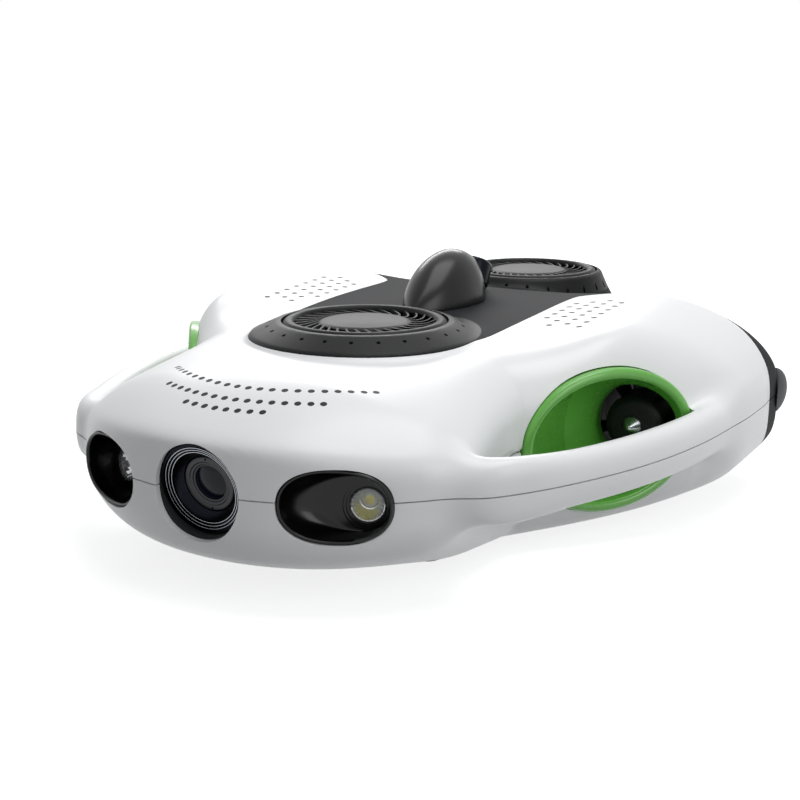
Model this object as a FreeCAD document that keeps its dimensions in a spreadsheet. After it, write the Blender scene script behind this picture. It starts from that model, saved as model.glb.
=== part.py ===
"""Compact underwater inspection vehicle, modelled in millimetres.

The vehicle rests on its feet with +Z up. Its nose points along -Y and its port
side along +X. The origin is on the floor under the middle of its bounding box.
"""

import FreeCAD
import Part
import math
import os

import Sketcher
from FreeCAD import Placement, Rotation, Vector

DIMENSIONS = {
    "Hull": {
        "nose_reach": (207, "from the origin to the tip of the nose"),
        "part_line": (54, "height of the joint between upper and lower shells"),
        "shell_wall": (2.6, "wall of the moulded shells"),
        "seam_gap": (0.3, "gap between neighbouring mouldings"),
        "keel_height": (4, "height of the flat belly above the floor"),
        "beam": (351, "overall width across the shells"),
        "brow_height": (88, "height of the top just behind the front face"),
        "shoulder_height": (97, "height of the top ahead of the pockets"),
        "crown_height": (114, "height of the sides' crown line at the deck's end"),
        "crown_dip": (11, "how far the middle of the top dips below the crown line"),
        "chin_height": (15.5, "height of the underside just behind the front face"),
        "nose_half": (63, "half the width the sides would run to at the tip"),
        "face_radius": (131, "plan radius of the front face"),
        "brow_round": (7, "rounding of the front face's top edge"),
        "chin_round": (27, "how far the chin curves back"),
        "pod_end": (129, "where the side pods end, behind the origin"),
    },
    "Deck": {
        "deck_height": (103, "height of the flat deck"),
        "deck_half": (63, "half the width of the deck between the rings"),
        "deck_thickness": (2.6, "wall of the deck moulding"),
        "crown_rise": (4, "how far the side panels rise above the deck"),
        "flare_radius": (60, "foot of the front flare"),
        "rear_flare_radius": (56, "foot of the rear flare"),
        "rear_flare_height": (21, "height of the rear flare"),
        "deck_end": (79, "where the side panels' inner tips end"),
    },
    "Thrusters": {
        "front_lift_place": (-58, "place of the front lift thruster along the hull"),
        "rear_lift_place": (151, "place of the rear lift thruster along the hull"),
        "ring_top": (108, "top of the intake rings"),
        "ring_radius": (43, "outside of the intake rings"),
        "ring_depth": (7, "depth of the intake rings"),
        "tunnel_bore": (36.5, "inside radius of the lift tunnels"),
        "tunnel_wall": (2, "wall of the lift tunnels"),
        "hub_radius": (24.3, "radius of the hub caps"),
        "hub_depth": (3.2, "thickness of the hub caps"),
        "vane_thickness": (1.6, "thickness of the intake vanes"),
        "vane_count": (16, "number of vanes in a grille"),
        "vane_skew": (28, "angle of a vane away from the radius, in degrees"),
        "motor_radius": (14, "outside of the motor cans"),
        "motor_length": (22, "length of the motor cans"),
        "shaft_radius": (2, "radius of the motor shafts"),
        "shaft_clearance": (0.05, "radial clearance of a shaft in its bearing"),
        "running_gap": (0.9, "gap between a blade tip and its duct"),
        "shaft_length": (20, "length of a shaft below its motor"),
        "propeller_depth": (10, "length of a propeller along its shaft"),
        "propeller_hub": (8, "radius of a propeller's hub"),
        "blade_count": (3, "blades on a propeller"),
        "blade_thickness": (1.8, "thickness of a blade"),
        "drive_offset": (127, "distance of the drive thrusters from the middle"),
        "drive_face": (6, "place of the front of the drive rings"),
        "drive_bore": (24, "inside radius of the drive ducts"),
        "drive_wall": (2.6, "wall of the drive ducts"),
        "stator_depth": (16, "length of the drive rings along the flow"),
        "stator_hub": (15.5, "radius of the drive hubs"),
        "hub_lead": (9, "how far a drive hub stands ahead of its ring"),
        "strut_count": (5, "struts in a drive ring"),
        "strut_thickness": (3, "thickness of a strut"),
        "cone_radius": (5, "foot of the nose cone on a drive hub"),
        "cone_length": (6, "length of the nose cone"),
        "guard_depth": (4, "thickness of the outlet guards"),
        "guard_bar": (1.8, "width of a bar in a guard"),
    },
    "Ducts": {
        "mouth_along": (-36, "place of the middle of a duct mouth along the hull"),
        "mouth_half_length": (50, "half the length of a duct mouth"),
        "mouth_half_height": (36.5, "half the height of a duct mouth"),
        "mouth_angle": (54.6, "plan angle of a duct mouth from across the hull"),
        "liner_wall": (2.4, "wall of the duct liners"),
        "mouth_brow": (12, "how far the top swells over a duct mouth"),
    },
    "Handles": {
        "grip_height": (26, "height of the side bars"),
        "grip_width": (18, "width of the side bars"),
    },
    "Camera": {
        "camera_height": (54.5, "height of the camera's middle"),
        "camera_setback": (6, "how far the bezel lies behind the nose tip"),
        "camera_tilt": (10, "how far the camera looks down, in degrees"),
        "bezel_radius": (22, "outside of the camera bezel"),
        "bezel_depth": (12, "length of the camera bezel"),
        "barrel_radius": (13.2, "outside of the camera barrel"),
        "barrel_length": (30, "length of the camera barrel"),
        "glass_radius": (8.1, "radius of the front lens"),
        "glass_depth": (3, "thickness of the front lens"),
        "step_rise": (1.6, "depth of each step of the bezel"),
        "step_tread": (2, "width of each step of the bezel"),
        "board_size": (24, "side of the camera board"),
        "board_thickness": (1.6, "thickness of the circuit boards"),
    },
    "Lamps": {
        "lamp_offset": (61.3, "distance of a lamp's middle from the middle plane"),
        "lamp_setback": (17, "how far a lamp lies behind the nose tip"),
        "lamp_height": (52.3, "height of a lamp's middle"),
        "lamp_toe_out": (23.7, "plan angle of a lamp away from straight ahead"),
        "lamp_half_length": (25.3, "half the length of a lamp opening"),
        "lamp_half_height": (16.8, "half the height of a lamp opening"),
        "cup_wall": (1.8, "wall of a lamp cup"),
        "cup_depth": (16, "depth of a lamp cup"),
        "beam_shift": (12.6, "how far the reflector sits outboard in its cup"),
        "beam_drop": (3.5, "how far the reflector sits below the cup's middle"),
        "reflector_radius": (8, "radius of the reflector's mouth"),
        "reflector_depth": (9, "depth of the reflector"),
        "emitter_size": (5, "side of the light emitter"),
    },
    "Dome": {
        "dome_front": (-9, "front end of the tether dome"),
        "dome_rear": (85, "rear end of the tether dome"),
        "dome_rise": (29.5, "height of the dome above the deck"),
        "dome_half": (20.5, "half the width of the dome"),
        "socket_along": (69, "place of the tether socket along the hull"),
        "socket_height": (119, "height of the tether socket's face"),
        "socket_lean": (28, "how far the socket leans back, in degrees"),
        "socket_radius": (11, "outside of the socket's collar"),
        "socket_bore": (6, "bore of the tether socket"),
        "socket_depth": (11, "length of the tether socket"),
        "socket_rise": (3, "how far the collar stands above the dome"),
    },
    "Inside": {
        "tube_radius": (33, "outside of the electronics tube"),
        "tube_wall": (3, "wall of the electronics tube"),
        "tube_front": (-12, "front end of the electronics tube"),
        "tube_rear": (105, "rear end of the electronics tube"),
        "cap_thickness": (6, "thickness of the tube's end caps"),
        "cap_plug": (8, "how far a cap reaches into the tube"),
        "seal_section": (1.5, "section radius of the tube's seals"),
        "battery_radius": (17, "outside of the battery tubes"),
        "battery_offset": (62, "distance of the batteries from the middle"),
        "battery_front": (-75, "front end of the battery tubes"),
        "battery_length": (150, "length of the battery tubes"),
        "cradle_thickness": (6, "thickness of the battery cradles"),
        "ballast_length": (46, "length of a ballast block"),
        "ballast_width": (24, "width of a ballast block"),
        "ballast_depth": (8, "thickness of a ballast block"),
        "screw_radius": (1.5, "radius of the shell screws"),
        "screw_head": (3, "radius of the screw heads"),
        "screw_length": (12, "length of the shell screws"),
    },
    "Underside": {
        "foot_radius": (9, "radius of a foot"),
        "foot_sink": (1.2, "how far a foot is let into the belly"),
        "foot_front": (-96, "place of the front feet along the hull"),
        "foot_back": (66, "place of the rear feet along the hull"),
        "foot_offset": (56, "distance of the feet from the middle"),
        "insert_radius": (6, "outside of the accessory insert"),
        "thread_bore": (2.6, "bore of the accessory thread"),
        "insert_length": (12, "length of the accessory insert"),
        "insert_place": (-115, "place of the accessory insert along the hull"),
        "bumper_length": (40, "length of a rear bumper"),
        "bumper_height": (26, "height of a rear bumper"),
        "bumper_width": (14, "width of a rear bumper"),
        "bumper_front": (89, "front end of a rear bumper"),
    },
}


class Size:
    """A length that knows its number and the sheet expression behind it."""

    def __init__(self, value, text):
        self.value = value
        self.text = text

    def __float__(self):
        return float(self.value)

    def __neg__(self):
        return Size(-self.value, "-(%s)" % self.text)

    def __add__(self, other):
        return combine(self, other, "+", self.value + float(other))

    def __radd__(self, other):
        return combine(other, self, "+", float(other) + self.value)

    def __sub__(self, other):
        return combine(self, other, "-", self.value - float(other))

    def __rsub__(self, other):
        return combine(other, self, "-", float(other) - self.value)

    def __mul__(self, other):
        return combine(self, other, "*", self.value * float(other))

    __rmul__ = __mul__

    def __truediv__(self, other):
        return combine(self, other, "/", self.value / float(other))


def text_of(number):
    """Expression text of a Size or of a plain number."""
    return number.text if isinstance(number, Size) else repr(number)


def combine(left, right, sign, value):
    """The Size of LEFT SIGN RIGHT."""
    return Size(value, "(%s %s %s)" % (text_of(left), sign, text_of(right)))


class Sheet:
    """The spreadsheet of driving dimensions, read as attributes."""

    def __init__(self, doc):
        self.sheet = doc.addObject("Spreadsheet::Sheet", "Dimensions")
        row = 1
        for title, entries in DIMENSIONS.items():
            self.sheet.set("A%d" % row, title)
            row += 1
            for alias, (value, meaning) in entries.items():
                self.sheet.set("A%d" % row, meaning)
                self.sheet.set("B%d" % row, str(value))
                self.sheet.setAlias("B%d" % row, alias)
                row += 1
        doc.recompute()

    def __getattr__(self, alias):
        return Size(float(getattr(self.sheet, alias)), "Dimensions.%s" % alias)


doc = FreeCAD.newDocument("inspection_vehicle")
dim = Sheet(doc)
SUBPARTS = []
SIDES = {"port": 1, "starboard": -1}
UP = Vector(0, 0, 1)


# ---------------------------------------------------------------- helpers


def subpart(obj, label):
    """Marks OBJ as a sub-part whose label names its file."""
    obj.Label = label
    SUBPARTS.append(obj)
    return obj


def bind(obj, prop, number):
    """Ties a property to the sheet, or sets it when it is a plain number."""
    if isinstance(number, Size):
        obj.setExpression(prop, number.text)
        return
    setattr(obj, prop, number)


def put(obj, at=(0, 0, 0), turn=None):
    """Places OBJ at the point AT, with its own axes turned by TURN."""
    obj.Placement = Placement(Vector(*[float(c) for c in at]), turn or Rotation())
    for axis, number in zip("xyz", at):
        if isinstance(number, Size):
            obj.setExpression("Placement.Base." + axis, number.text)
    return obj


def cylinder(name, radius, height, at=(0, 0, 0), turn=None):
    """A cylinder that starts at AT and runs along its own +Z."""
    obj = doc.addObject("Part::Cylinder", name)
    bind(obj, "Radius", radius)
    bind(obj, "Height", height)
    return put(obj, at, turn)


def box(name, size, at, turn=None):
    """A box of SIZE with its low corner at AT."""
    obj = doc.addObject("Part::Box", name)
    for prop, number in zip(("Length", "Width", "Height"), size):
        bind(obj, prop, number)
    return put(obj, at, turn)


def fuse(name, pieces):
    """One solid made of PIECES."""
    obj = doc.addObject("Part::MultiFuse", name)
    obj.Shapes = pieces
    obj.Refine = False
    return obj


def cut(name, base, tool):
    """BASE with TOOL taken away."""
    obj = doc.addObject("Part::Cut", name)
    obj.Base = base
    obj.Tool = tool
    return obj


def common(name, first, second):
    """What FIRST and SECOND share."""
    obj = doc.addObject("Part::Common", name)
    obj.Base = first
    obj.Tool = second
    return obj


def group(name, pieces):
    """Separate solids that share one sub-part."""
    obj = doc.addObject("Part::Compound", name)
    obj.Links = pieces
    return obj


def feature(name, shape):
    """A feature whose shape is made from the sheet's sizes by Part."""
    obj = doc.addObject("Part::Feature", name)
    obj.Shape = shape
    return obj


def origin_plane(body, role):
    """The body's own origin plane of that ROLE."""
    return next(f for f in body.Origin.OriginFeatures if f.Role == role)


def sketch_polygon(body, name, role, points):
    """A closed sketch whose corners are tied to the sheet."""
    sketch = body.newObject("Sketcher::SketchObject", name)
    sketch.AttachmentSupport = (origin_plane(body, role), [""])
    sketch.MapMode = "FlatFace"
    corners = [Vector(float(a), float(b), 0) for a, b in points]
    count = len(corners)
    for i in range(count):
        edge = Part.LineSegment(corners[i], corners[(i + 1) % count])
        sketch.addGeometry(edge, False)
    for i in range(count):
        joint = Sketcher.Constraint("Coincident", i, 2, (i + 1) % count, 1)
        sketch.addConstraint(joint)
    for i, point in enumerate(points):
        for kind, number in zip(("DistanceX", "DistanceY"), point):
            rule = Sketcher.Constraint(kind, i, 1, float(number))
            index = sketch.addConstraint(rule)
            if isinstance(number, Size):
                sketch.setExpression("Constraints[%d]" % index, number.text)
    return sketch


def turned(name, points, at=(0, 0, 0), turn=None):
    """A PartDesign body turned about its own Z from (radius, height) points."""
    body = doc.addObject("PartDesign::Body", name)
    sketch = sketch_polygon(body, name + "_profile", "XZ_Plane", points)
    lathe = body.newObject("PartDesign::Revolution", name + "_turn")
    lathe.Profile = sketch
    lathe.ReferenceAxis = (sketch, ["V_Axis"])
    lathe.Angle = 360
    return put(body, at, turn)


def plate(name, points, thickness, at=(0, 0, 0), turn=None):
    """A PartDesign body padded along its own Z from (x, y) corners."""
    body = doc.addObject("PartDesign::Body", name)
    sketch = sketch_polygon(body, name + "_outline", "XY_Plane", points)
    pad = body.newObject("PartDesign::Pad", name + "_pad")
    pad.Profile = sketch
    bind(pad, "Length", thickness)
    return put(body, at, turn)


def closed_curve(points):
    """A smooth closed wire through POINTS."""
    curve = Part.BSplineCurve()
    curve.interpolate(Points=points, PeriodicFlag=True)
    return Part.Wire([curve.toShape()])


def open_curve(points):
    """A smooth open edge through POINTS."""
    curve = Part.BSplineCurve()
    curve.interpolate(Points=points)
    return curve.toShape()


def mirrored(shape):
    """The shape's mirror image on the other side of the middle plane."""
    return shape.mirror(Vector(0, 0, 0), Vector(1, 0, 0))


def both_sides(shape):
    """The port shape together with its starboard mirror image."""
    return Part.makeCompound([shape, mirrored(shape)])


# ------------------------------------------------------------------- hull

HULL_STATIONS = 10
SECTION_POINTS = 32
NOSE_END = -float(dim.nose_reach)
BEAM_HALF = float(dim.beam) / 2
PART_LINE = float(dim.part_line)
WALL = float(dim.shell_wall)
GAP = float(dim.seam_gap)
DECK_END = float(dim.deck_end)
POD_END = float(dim.pod_end)
CLEAR = 400.0


def ease(start, end, along):
    """Runs smoothly from 0 at START to 1 at END."""
    t = min(max((along - start) / (end - start), 0.0), 1.0)
    return t * t * (3 - 2 * t)


def shoulder_place():
    """Where the top is at shoulder height, a third of the way to the deck's end."""
    return NOSE_END + float(dim.face_radius) * 0.43


def half_width(along):
    """Half the width of the outer form at a place along the hull."""
    run = DECK_END + 7 - along
    t = max(run, 0) / (DECK_END + 7 - NOSE_END)
    narrow = 1 - float(dim.nose_half) / BEAM_HALF
    taper = 0.12 * ease(POD_END - 16, POD_END, along)
    return BEAM_HALF * (1 - narrow * t ** 3 - taper)


def crown(along):
    """Height of the sides' crown line."""
    start = shoulder_place()
    low = float(dim.shoulder_height)
    rise = (float(dim.crown_height) - low) * ease(start, DECK_END, along)
    fall = 0.0
    if along < start:
        depth = low - float(dim.brow_height)
        fall = depth * ((start - along) / (start - NOSE_END - 22)) ** 1.5
    tail = 16 * ease(POD_END - 40, POD_END + 6, along)
    return low + rise - fall - tail


def keel(along):
    """Height of the underside."""
    level = float(dim.keel_height)
    start = NOSE_END / 2
    if along < start:
        run = start - NOSE_END - 22
        return level + (float(dim.chin_height) - level) * ((start - along) / run) ** 2
    return level + 9 * ease(POD_END - 40, POD_END + 6, along)


def section(along, inset):
    """The closed outline of the hull's form at one place along it."""
    blend = ease(shoulder_place(), DECK_END, along)
    flank = 2.4 + 0.9 * blend
    top = 1.5 + 0.7 * blend
    bottom = 1.9 + 1.1 * blend
    wide = half_width(along) - inset
    high = crown(along) - PART_LINE - inset
    deep = PART_LINE - keel(along) - inset
    dip = float(dim.crown_dip) * blend ** 1.5
    away = (along - float(dim.mouth_along) - 10) / float(dim.mouth_half_length)
    brow = float(dim.mouth_brow) * math.exp(-away * away)
    points = []
    for i in range(SECTION_POINTS):
        angle = 2 * math.pi * i / SECTION_POINTS
        c, s = math.cos(angle), math.sin(angle)
        across = math.copysign(abs(c) ** (2 / flank), c) * wide
        if s >= 0:
            level = high * s ** (2 / top)
            level -= dip * s * math.exp(-((across / (1.5 * float(dim.deck_half))) ** 4))
            level += brow * s * math.exp(-(((abs(across) - float(dim.drive_offset)) / 22) ** 2))
        else:
            level = -deep * (-s) ** (2 / bottom)
        points.append(Vector(across, along, PART_LINE + level))
    return closed_curve(points)


def belly_level(across, along):
    """Height of the outer skin of the underside at one point."""
    blend = ease(shoulder_place(), DECK_END, along)
    share = (abs(across) / half_width(along)) ** (2.4 + 0.9 * blend)
    return PART_LINE - (PART_LINE - keel(along)) * (1 - share) ** (1 / (1.9 + 1.1 * blend))


def long_form(inset):
    """The hull's long form, before its nose, pockets and tail are made."""
    first = NOSE_END - 8
    last = POD_END - inset
    step = (last - first) / (HULL_STATIONS - 1)
    wires = [section(first + i * step, inset) for i in range(HULL_STATIONS)]
    return Part.makeLoft(wires, True, False)


def nose_waste(inset):
    """What is cut away to leave the round front face."""
    radius = float(dim.face_radius)
    middle = Vector(0, NOSE_END + radius, 0)
    face = radius - inset
    top = float(dim.brow_height) - inset
    chin = float(dim.chin_height) + inset
    round_off = float(dim.brow_round)
    brow = Vector(face, 0, top - 2.2 * round_off)
    brow_mid = Vector(face - 0.4 * round_off, 0, top - round_off)
    brow_end = Vector(face - 2 * round_off, 0, top)
    low = Vector(face, 0, chin + float(dim.chin_round))
    low_mid = Vector(face - 0.25 * float(dim.chin_round), 0, chin + 0.35 * float(dim.chin_round))
    low_end = Vector(face - float(dim.chin_round), 0, chin)
    inner_top = Vector(face - 5 * round_off, 0, top + 1.3 * round_off)
    corners = [
        Part.LineSegment(low, brow).toShape(),
        Part.Arc(brow, brow_mid, brow_end).toShape(),
        Part.LineSegment(brow_end, inner_top).toShape(),
        Part.LineSegment(inner_top, Vector(0, 0, CLEAR)).toShape(),
        Part.LineSegment(Vector(0, 0, CLEAR), Vector(0, 0, -CLEAR)).toShape(),
        Part.LineSegment(Vector(0, 0, -CLEAR), low_end).toShape(),
        Part.Arc(low_end, low_mid, low).toShape(),
    ]
    face_profile = Part.Face(Part.Wire(corners))
    kept = face_profile.revolve(Vector(0, 0, 0), UP, 360)
    kept.translate(middle)
    block = Part.makeBox(2 * CLEAR, CLEAR, 2 * CLEAR, Vector(-CLEAR, middle.y - CLEAR, -CLEAR))
    return block.cut(kept)


def mouth_frame():
    """Centre of the port duct's mouth, the way along it and the way out of it."""
    angle = math.radians(float(dim.mouth_angle))
    centre = Vector(float(dim.drive_offset), float(dim.mouth_along), PART_LINE)
    along = Vector(math.cos(angle), math.sin(angle), 0)
    out = Vector(math.sin(angle), -math.cos(angle), 0)
    return centre, along, out


def pocket(inset):
    """The port pocket between the nose and the side bar, seen from above."""
    centre, along, out = mouth_frame()
    half = float(dim.mouth_half_length)
    front = centre - along * half
    rear = centre + along * half
    line = [
        Vector(front.x + 38, NOSE_END + 30, 0),
        Vector(front.x + 14, NOSE_END + 54, 0),
        Vector(front.x + 3, NOSE_END + 78, 0),
        Vector(front.x - 1, NOSE_END + 106, 0),
        Vector(front.x, front.y, 0),
    ]
    edges = [
        open_curve(line),
        Part.LineSegment(line[-1], Vector(rear.x, rear.y, 0)).toShape(),
        open_curve([
            Vector(rear.x, rear.y, 0),
            Vector(rear.x + 13, rear.y + 12, 0),
            Vector(rear.x + 40, rear.y + 24, 0),
        ]),
    ]
    far = Vector(rear.x + 40, NOSE_END + 30, 0)
    edges.append(Part.LineSegment(Vector(rear.x + 40, rear.y + 24, 0), far).toShape())
    edges.append(Part.LineSegment(far, line[0]).toShape())
    prism = Part.Face(Part.Wire(edges)).extrude(Vector(0, 0, CLEAR))
    shift = Vector(-inset, 0.6 * inset, -CLEAR / 2)
    prism.translate(shift)
    return prism


def side_bar():
    """The port side bar that a diver's hand goes round."""
    start = NOSE_END + 55
    inboard = float(dim.grip_width) / 2
    points = [
        Vector(half_width(start) - 5 * inboard, start - 0.6 * inboard, PART_LINE),
        Vector(half_width(start) - 2.6 * inboard, start + 0.3 * inboard, PART_LINE),
    ]
    end = float(dim.drive_face) + 52
    steps = 8
    for i in range(steps):
        along = start + 1.6 * inboard + (end - start) * i / (steps - 1)
        points.append(Vector(half_width(along) - inboard, along, PART_LINE))
    heading = (points[1] - points[0]).normalize()
    side = heading.cross(UP)
    matrix = FreeCAD.Matrix()
    matrix.A11, matrix.A21, matrix.A31 = side.x, side.y, side.z
    matrix.A12, matrix.A22, matrix.A32 = heading.x, heading.y, heading.z
    matrix.A13, matrix.A23, matrix.A33 = UP.x, UP.y, UP.z
    oval = Part.Ellipse(Vector(0, 0, float(dim.grip_height) / 2), Vector(inboard, 0, 0), Vector(0, 0, 0))
    profile = Part.Wire([oval.toShape()]).transformGeometry(matrix)
    profile.translate(points[0])
    sweep = Part.BRepOffsetAPI.MakePipeShell(Part.Wire([open_curve(points)]))
    sweep.setBiNormalMode(UP)
    sweep.add(profile)
    sweep.build()
    sweep.makeSolid()
    return sweep.shape()


def lathe(points, along):
    """A solid turned about the upright line at a place along the hull."""
    corners = [Vector(r, 0, z) for r, z in points]
    outline = Part.Face(Part.makePolygon(corners + corners[:1]))
    solid = outline.revolve(Vector(0, 0, 0), UP, 360)
    solid.translate(Vector(0, along, 0))
    return solid


def tail_drum(inset):
    """The drum round the rear lift thruster."""
    foot = float(dim.rear_flare_radius) - inset
    low = float(dim.keel_height) + 6 + inset
    top = float(dim.ring_top) - 1
    shoulder = top - float(dim.rear_flare_height) - 0.5 * inset
    neck = float(dim.ring_radius) + 2.5
    if inset:
        top = float(dim.ring_top - dim.ring_depth) - inset
        neck = foot - 6
    points = [
        (0, low),
        (foot - 8, low),
        (foot - 2, low + 8),
        (foot, shoulder),
        (0.5 * (foot + neck) - 0.6, shoulder + 0.62 * (top - shoulder)),
        (neck, top),
        (0, top),
    ]
    return lathe(points, float(dim.rear_lift_place))


def seat_bore():
    """Radius of the hole that a lift tunnel passes through."""
    return float(dim.tunnel_bore + dim.tunnel_wall + dim.seam_gap)


def ring_seat(along, foot, foot_height):
    """The flared collar that an intake ring sits in."""
    seat = float(dim.ring_top - dim.ring_depth)
    recess = float(dim.ring_radius + dim.seam_gap)
    top = float(dim.ring_top) - 0.8
    base = seat - float(dim.deck_thickness)
    points = [
        (seat_bore(), base),
        (foot, base),
        (foot, max(foot_height, base + 0.2)),
        (recess + 1.2, top),
        (recess, top),
        (recess, seat),
        (seat_bore(), seat),
    ]
    return lathe(points, along)


def front_flare():
    """The front intake ring's collar, which the dome's tip leans on."""
    foot = float(dim.flare_radius)
    return ring_seat(float(dim.front_lift_place), foot, float(dim.deck_height) - 2.4)


def dark_plan(spread):
    """The dark mouldings seen from above: deck, front flare and tail."""
    half = float(dim.deck_half) + spread
    front = float(dim.front_lift_place)
    end = DECK_END - spread
    edge = BEAM_HALF
    port = [
        Vector(half - 4, end, 0),
        Vector(half + 4, end + 6.4, 0),
        Vector(half + 33, end + 22, 0),
        Vector(half + 57, end + 24, 0),
        Vector(half + 87, end + 18, 0),
        Vector(edge, end + 7.3, 0),
        Vector(edge + 15, end, 0),
    ]
    starboard = [Vector(-p.x, p.y, 0) for p in reversed(port)]
    knee = end - 26
    far = CLEAR - 100
    line = Part.LineSegment
    edges = [
        line(Vector(-half, front, 0), Vector(half, front, 0)).toShape(),
        line(Vector(half, front, 0), Vector(half, knee, 0)).toShape(),
        line(Vector(half, knee, 0), port[0]).toShape(),
        open_curve(port),
        line(port[-1], Vector(port[-1].x, far, 0)).toShape(),
        line(Vector(port[-1].x, far, 0), Vector(-port[-1].x, far, 0)).toShape(),
        line(Vector(-port[-1].x, far, 0), starboard[0]).toShape(),
        open_curve(starboard),
        line(starboard[-1], Vector(-half, knee, 0)).toShape(),
        line(Vector(-half, knee, 0), Vector(-half, front, 0)).toShape(),
    ]
    return Part.Face(Part.Wire(edges))


def dark_prism(spread, tail_only):
    """Upright prism of the dark mouldings; the lower one holds only the tail."""
    prism = dark_plan(spread).extrude(Vector(0, 0, CLEAR))
    prism.translate(Vector(0, 0, -CLEAR / 2))
    if tail_only:
        front = float(dim.front_lift_place) - CLEAR
        width = 2 * float(dim.deck_half) + 6
        corner = Vector(-width / 2, front, -CLEAR)
        return prism.cut(Part.makeBox(width, DECK_END - front, 2 * CLEAR, corner))
    radius = float(dim.flare_radius) + spread
    centre = Vector(0, float(dim.front_lift_place), -CLEAR / 2)
    return prism.fuse(Part.makeCylinder(radius, CLEAR, centre))


def mouth_ring(half_length, half_height, step):
    """The oval of a duct mouth, moved outwards by STEP."""
    centre, along, out = mouth_frame()
    points = []
    for i in range(SECTION_POINTS):
        angle = 2 * math.pi * i / SECTION_POINTS
        reach = along * (half_length * math.cos(angle))
        points.append(centre + out * step + reach + UP * (half_height * math.sin(angle)))
    return closed_curve(points)


def duct_ring(radius, along):
    """The round end of a duct liner, against the drive ring."""
    points = []
    for i in range(SECTION_POINTS):
        angle = 2 * math.pi * i / SECTION_POINTS
        across = float(dim.drive_offset) + radius * math.cos(angle)
        points.append(Vector(across, along, PART_LINE + radius * math.sin(angle)))
    return closed_curve(points)


def liner_form(spread, overrun):
    """The funnel between a duct mouth and its drive ring."""
    half_length = float(dim.mouth_half_length) + spread
    half_height = float(dim.mouth_half_height) + spread
    wires = [
        mouth_ring(half_length, half_height, overrun),
        duct_ring(float(dim.drive_bore + dim.liner_wall) + spread, float(dim.drive_face) + overrun),
    ]
    return Part.makeLoft(wires, True, True)


def camera_frame():
    """Where the camera's bezel sits and the turn that faces it forward."""
    at = (0, -(dim.nose_reach - dim.camera_setback), dim.camera_height)
    return at, Rotation(Vector(1, 0, 0), 90 + float(dim.camera_tilt))


def lamp_frame(side):
    """Where a lamp's opening sits and the turn that faces it forward."""
    at = (dim.lamp_offset * side, -(dim.nose_reach - dim.lamp_setback), dim.lamp_height)
    return at, Rotation(UP, side * float(dim.lamp_toe_out)).multiply(Rotation(Vector(1, 0, 0), 90))


def stadium(half_length, half_height, low, high):
    """A block with round ends, standing along its own Z."""
    straight = half_length - half_height
    bar = Part.makeBox(2 * straight, 2 * half_height, high - low, Vector(-straight, -half_height, low))
    ends = [
        Part.makeCylinder(half_height, high - low, Vector(x, 0, low))
        for x in (-straight, straight)
    ]
    return bar.fuse(ends)


def placed(shape, frame):
    """SHAPE moved into a frame of a place and a turn."""
    at, turn = frame
    moved = shape.copy()
    moved.Placement = Placement(Vector(*[float(c) for c in at]), turn)
    return moved


def hull_openings():
    """Everything that the shells are pierced by."""
    tools = []
    for along in (float(dim.front_lift_place), float(dim.rear_lift_place)):
        tools.append(Part.makeCylinder(seat_bore(), CLEAR, Vector(0, along, -CLEAR / 2)))
        seat = float(dim.ring_top - dim.ring_depth)
        recess = float(dim.ring_radius + dim.seam_gap)
        tools.append(Part.makeCylinder(recess, CLEAR, Vector(0, along, seat)))
    duct = float(dim.drive_bore + dim.drive_wall) + GAP
    outlet = Part.makeCylinder(duct, 60, Vector(float(dim.drive_offset), POD_END - 40, PART_LINE), Vector(0, 1, 0))
    tools += [outlet, mirrored(outlet)]
    half_length = float(dim.mouth_half_length) + GAP
    half_height = float(dim.mouth_half_height) + GAP
    wires = [mouth_ring(half_length, half_height, step) for step in (6, -1.5 * WALL)]
    wires.append(duct_ring(float(dim.drive_bore + dim.liner_wall) + GAP, float(dim.drive_face)))
    mouth = Part.makeLoft(wires, True, True)
    tools += [mouth, mirrored(mouth)]
    bezel = Part.makeCylinder(float(dim.bezel_radius) + GAP, 40, Vector(0, 0, -20))
    tools.append(placed(bezel, camera_frame()))
    cup = stadium(float(dim.lamp_half_length) + GAP, float(dim.lamp_half_height) + GAP, -14, 30)
    tools += [placed(cup, lamp_frame(side)) for side in SIDES.values()]
    return Part.makeCompound(tools)


# ------------------------------------------------------------ outer shells


def slab(low, high):
    """Everything between two heights."""
    return Part.makeBox(2 * CLEAR, 2 * CLEAR, high - low, Vector(-CLEAR, -CLEAR, low))


def hull_skin():
    """The whole pierced skin of the hull, before it is parted."""
    solid = long_form(0).cut(nose_waste(0)).cut(both_sides(pocket(0)))
    bar = side_bar()
    solid = solid.fuse([bar, mirrored(bar), tail_drum(0)])
    hollow = long_form(WALL).cut(nose_waste(WALL)).cut(both_sides(pocket(WALL)))
    hollow = hollow.fuse(tail_drum(WALL))
    return solid.cut(hollow).cut(hull_openings().SubShapes)


def biggest(shape):
    """The largest solid of a cut, without the crumbs round it."""
    return max(shape.Solids, key=lambda solid: solid.Volume)


def belly_fittings(reach):
    """Bosses on the lower shell for the screws and the accessory insert."""
    posts = []
    for x, y in screw_places():
        radius = float(dim.screw_head) + 2
        foot = belly_level(x, y) + WALL / 2
        posts.append(Part.makeCylinder(radius, reach, Vector(x, y, foot)))
    foot = belly_level(0, float(dim.insert_place)) + WALL / 2
    place = Vector(0, float(dim.insert_place), foot)
    posts.append(Part.makeCylinder(float(dim.insert_radius) + 3, float(dim.insert_length), place))
    return posts


def screw_places():
    """Where the six shell screws stand."""
    front = float(dim.insert_place) - 22
    middle = float(dim.mouth_along) + 22
    rear = float(dim.foot_back) - 14
    near = float(dim.battery_offset) - 24
    wide = float(dim.battery_offset) + 24
    return [(s * x, y) for x, y in ((near, front), (wide, middle), (wide, rear)) for s in (1, -1)]


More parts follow.
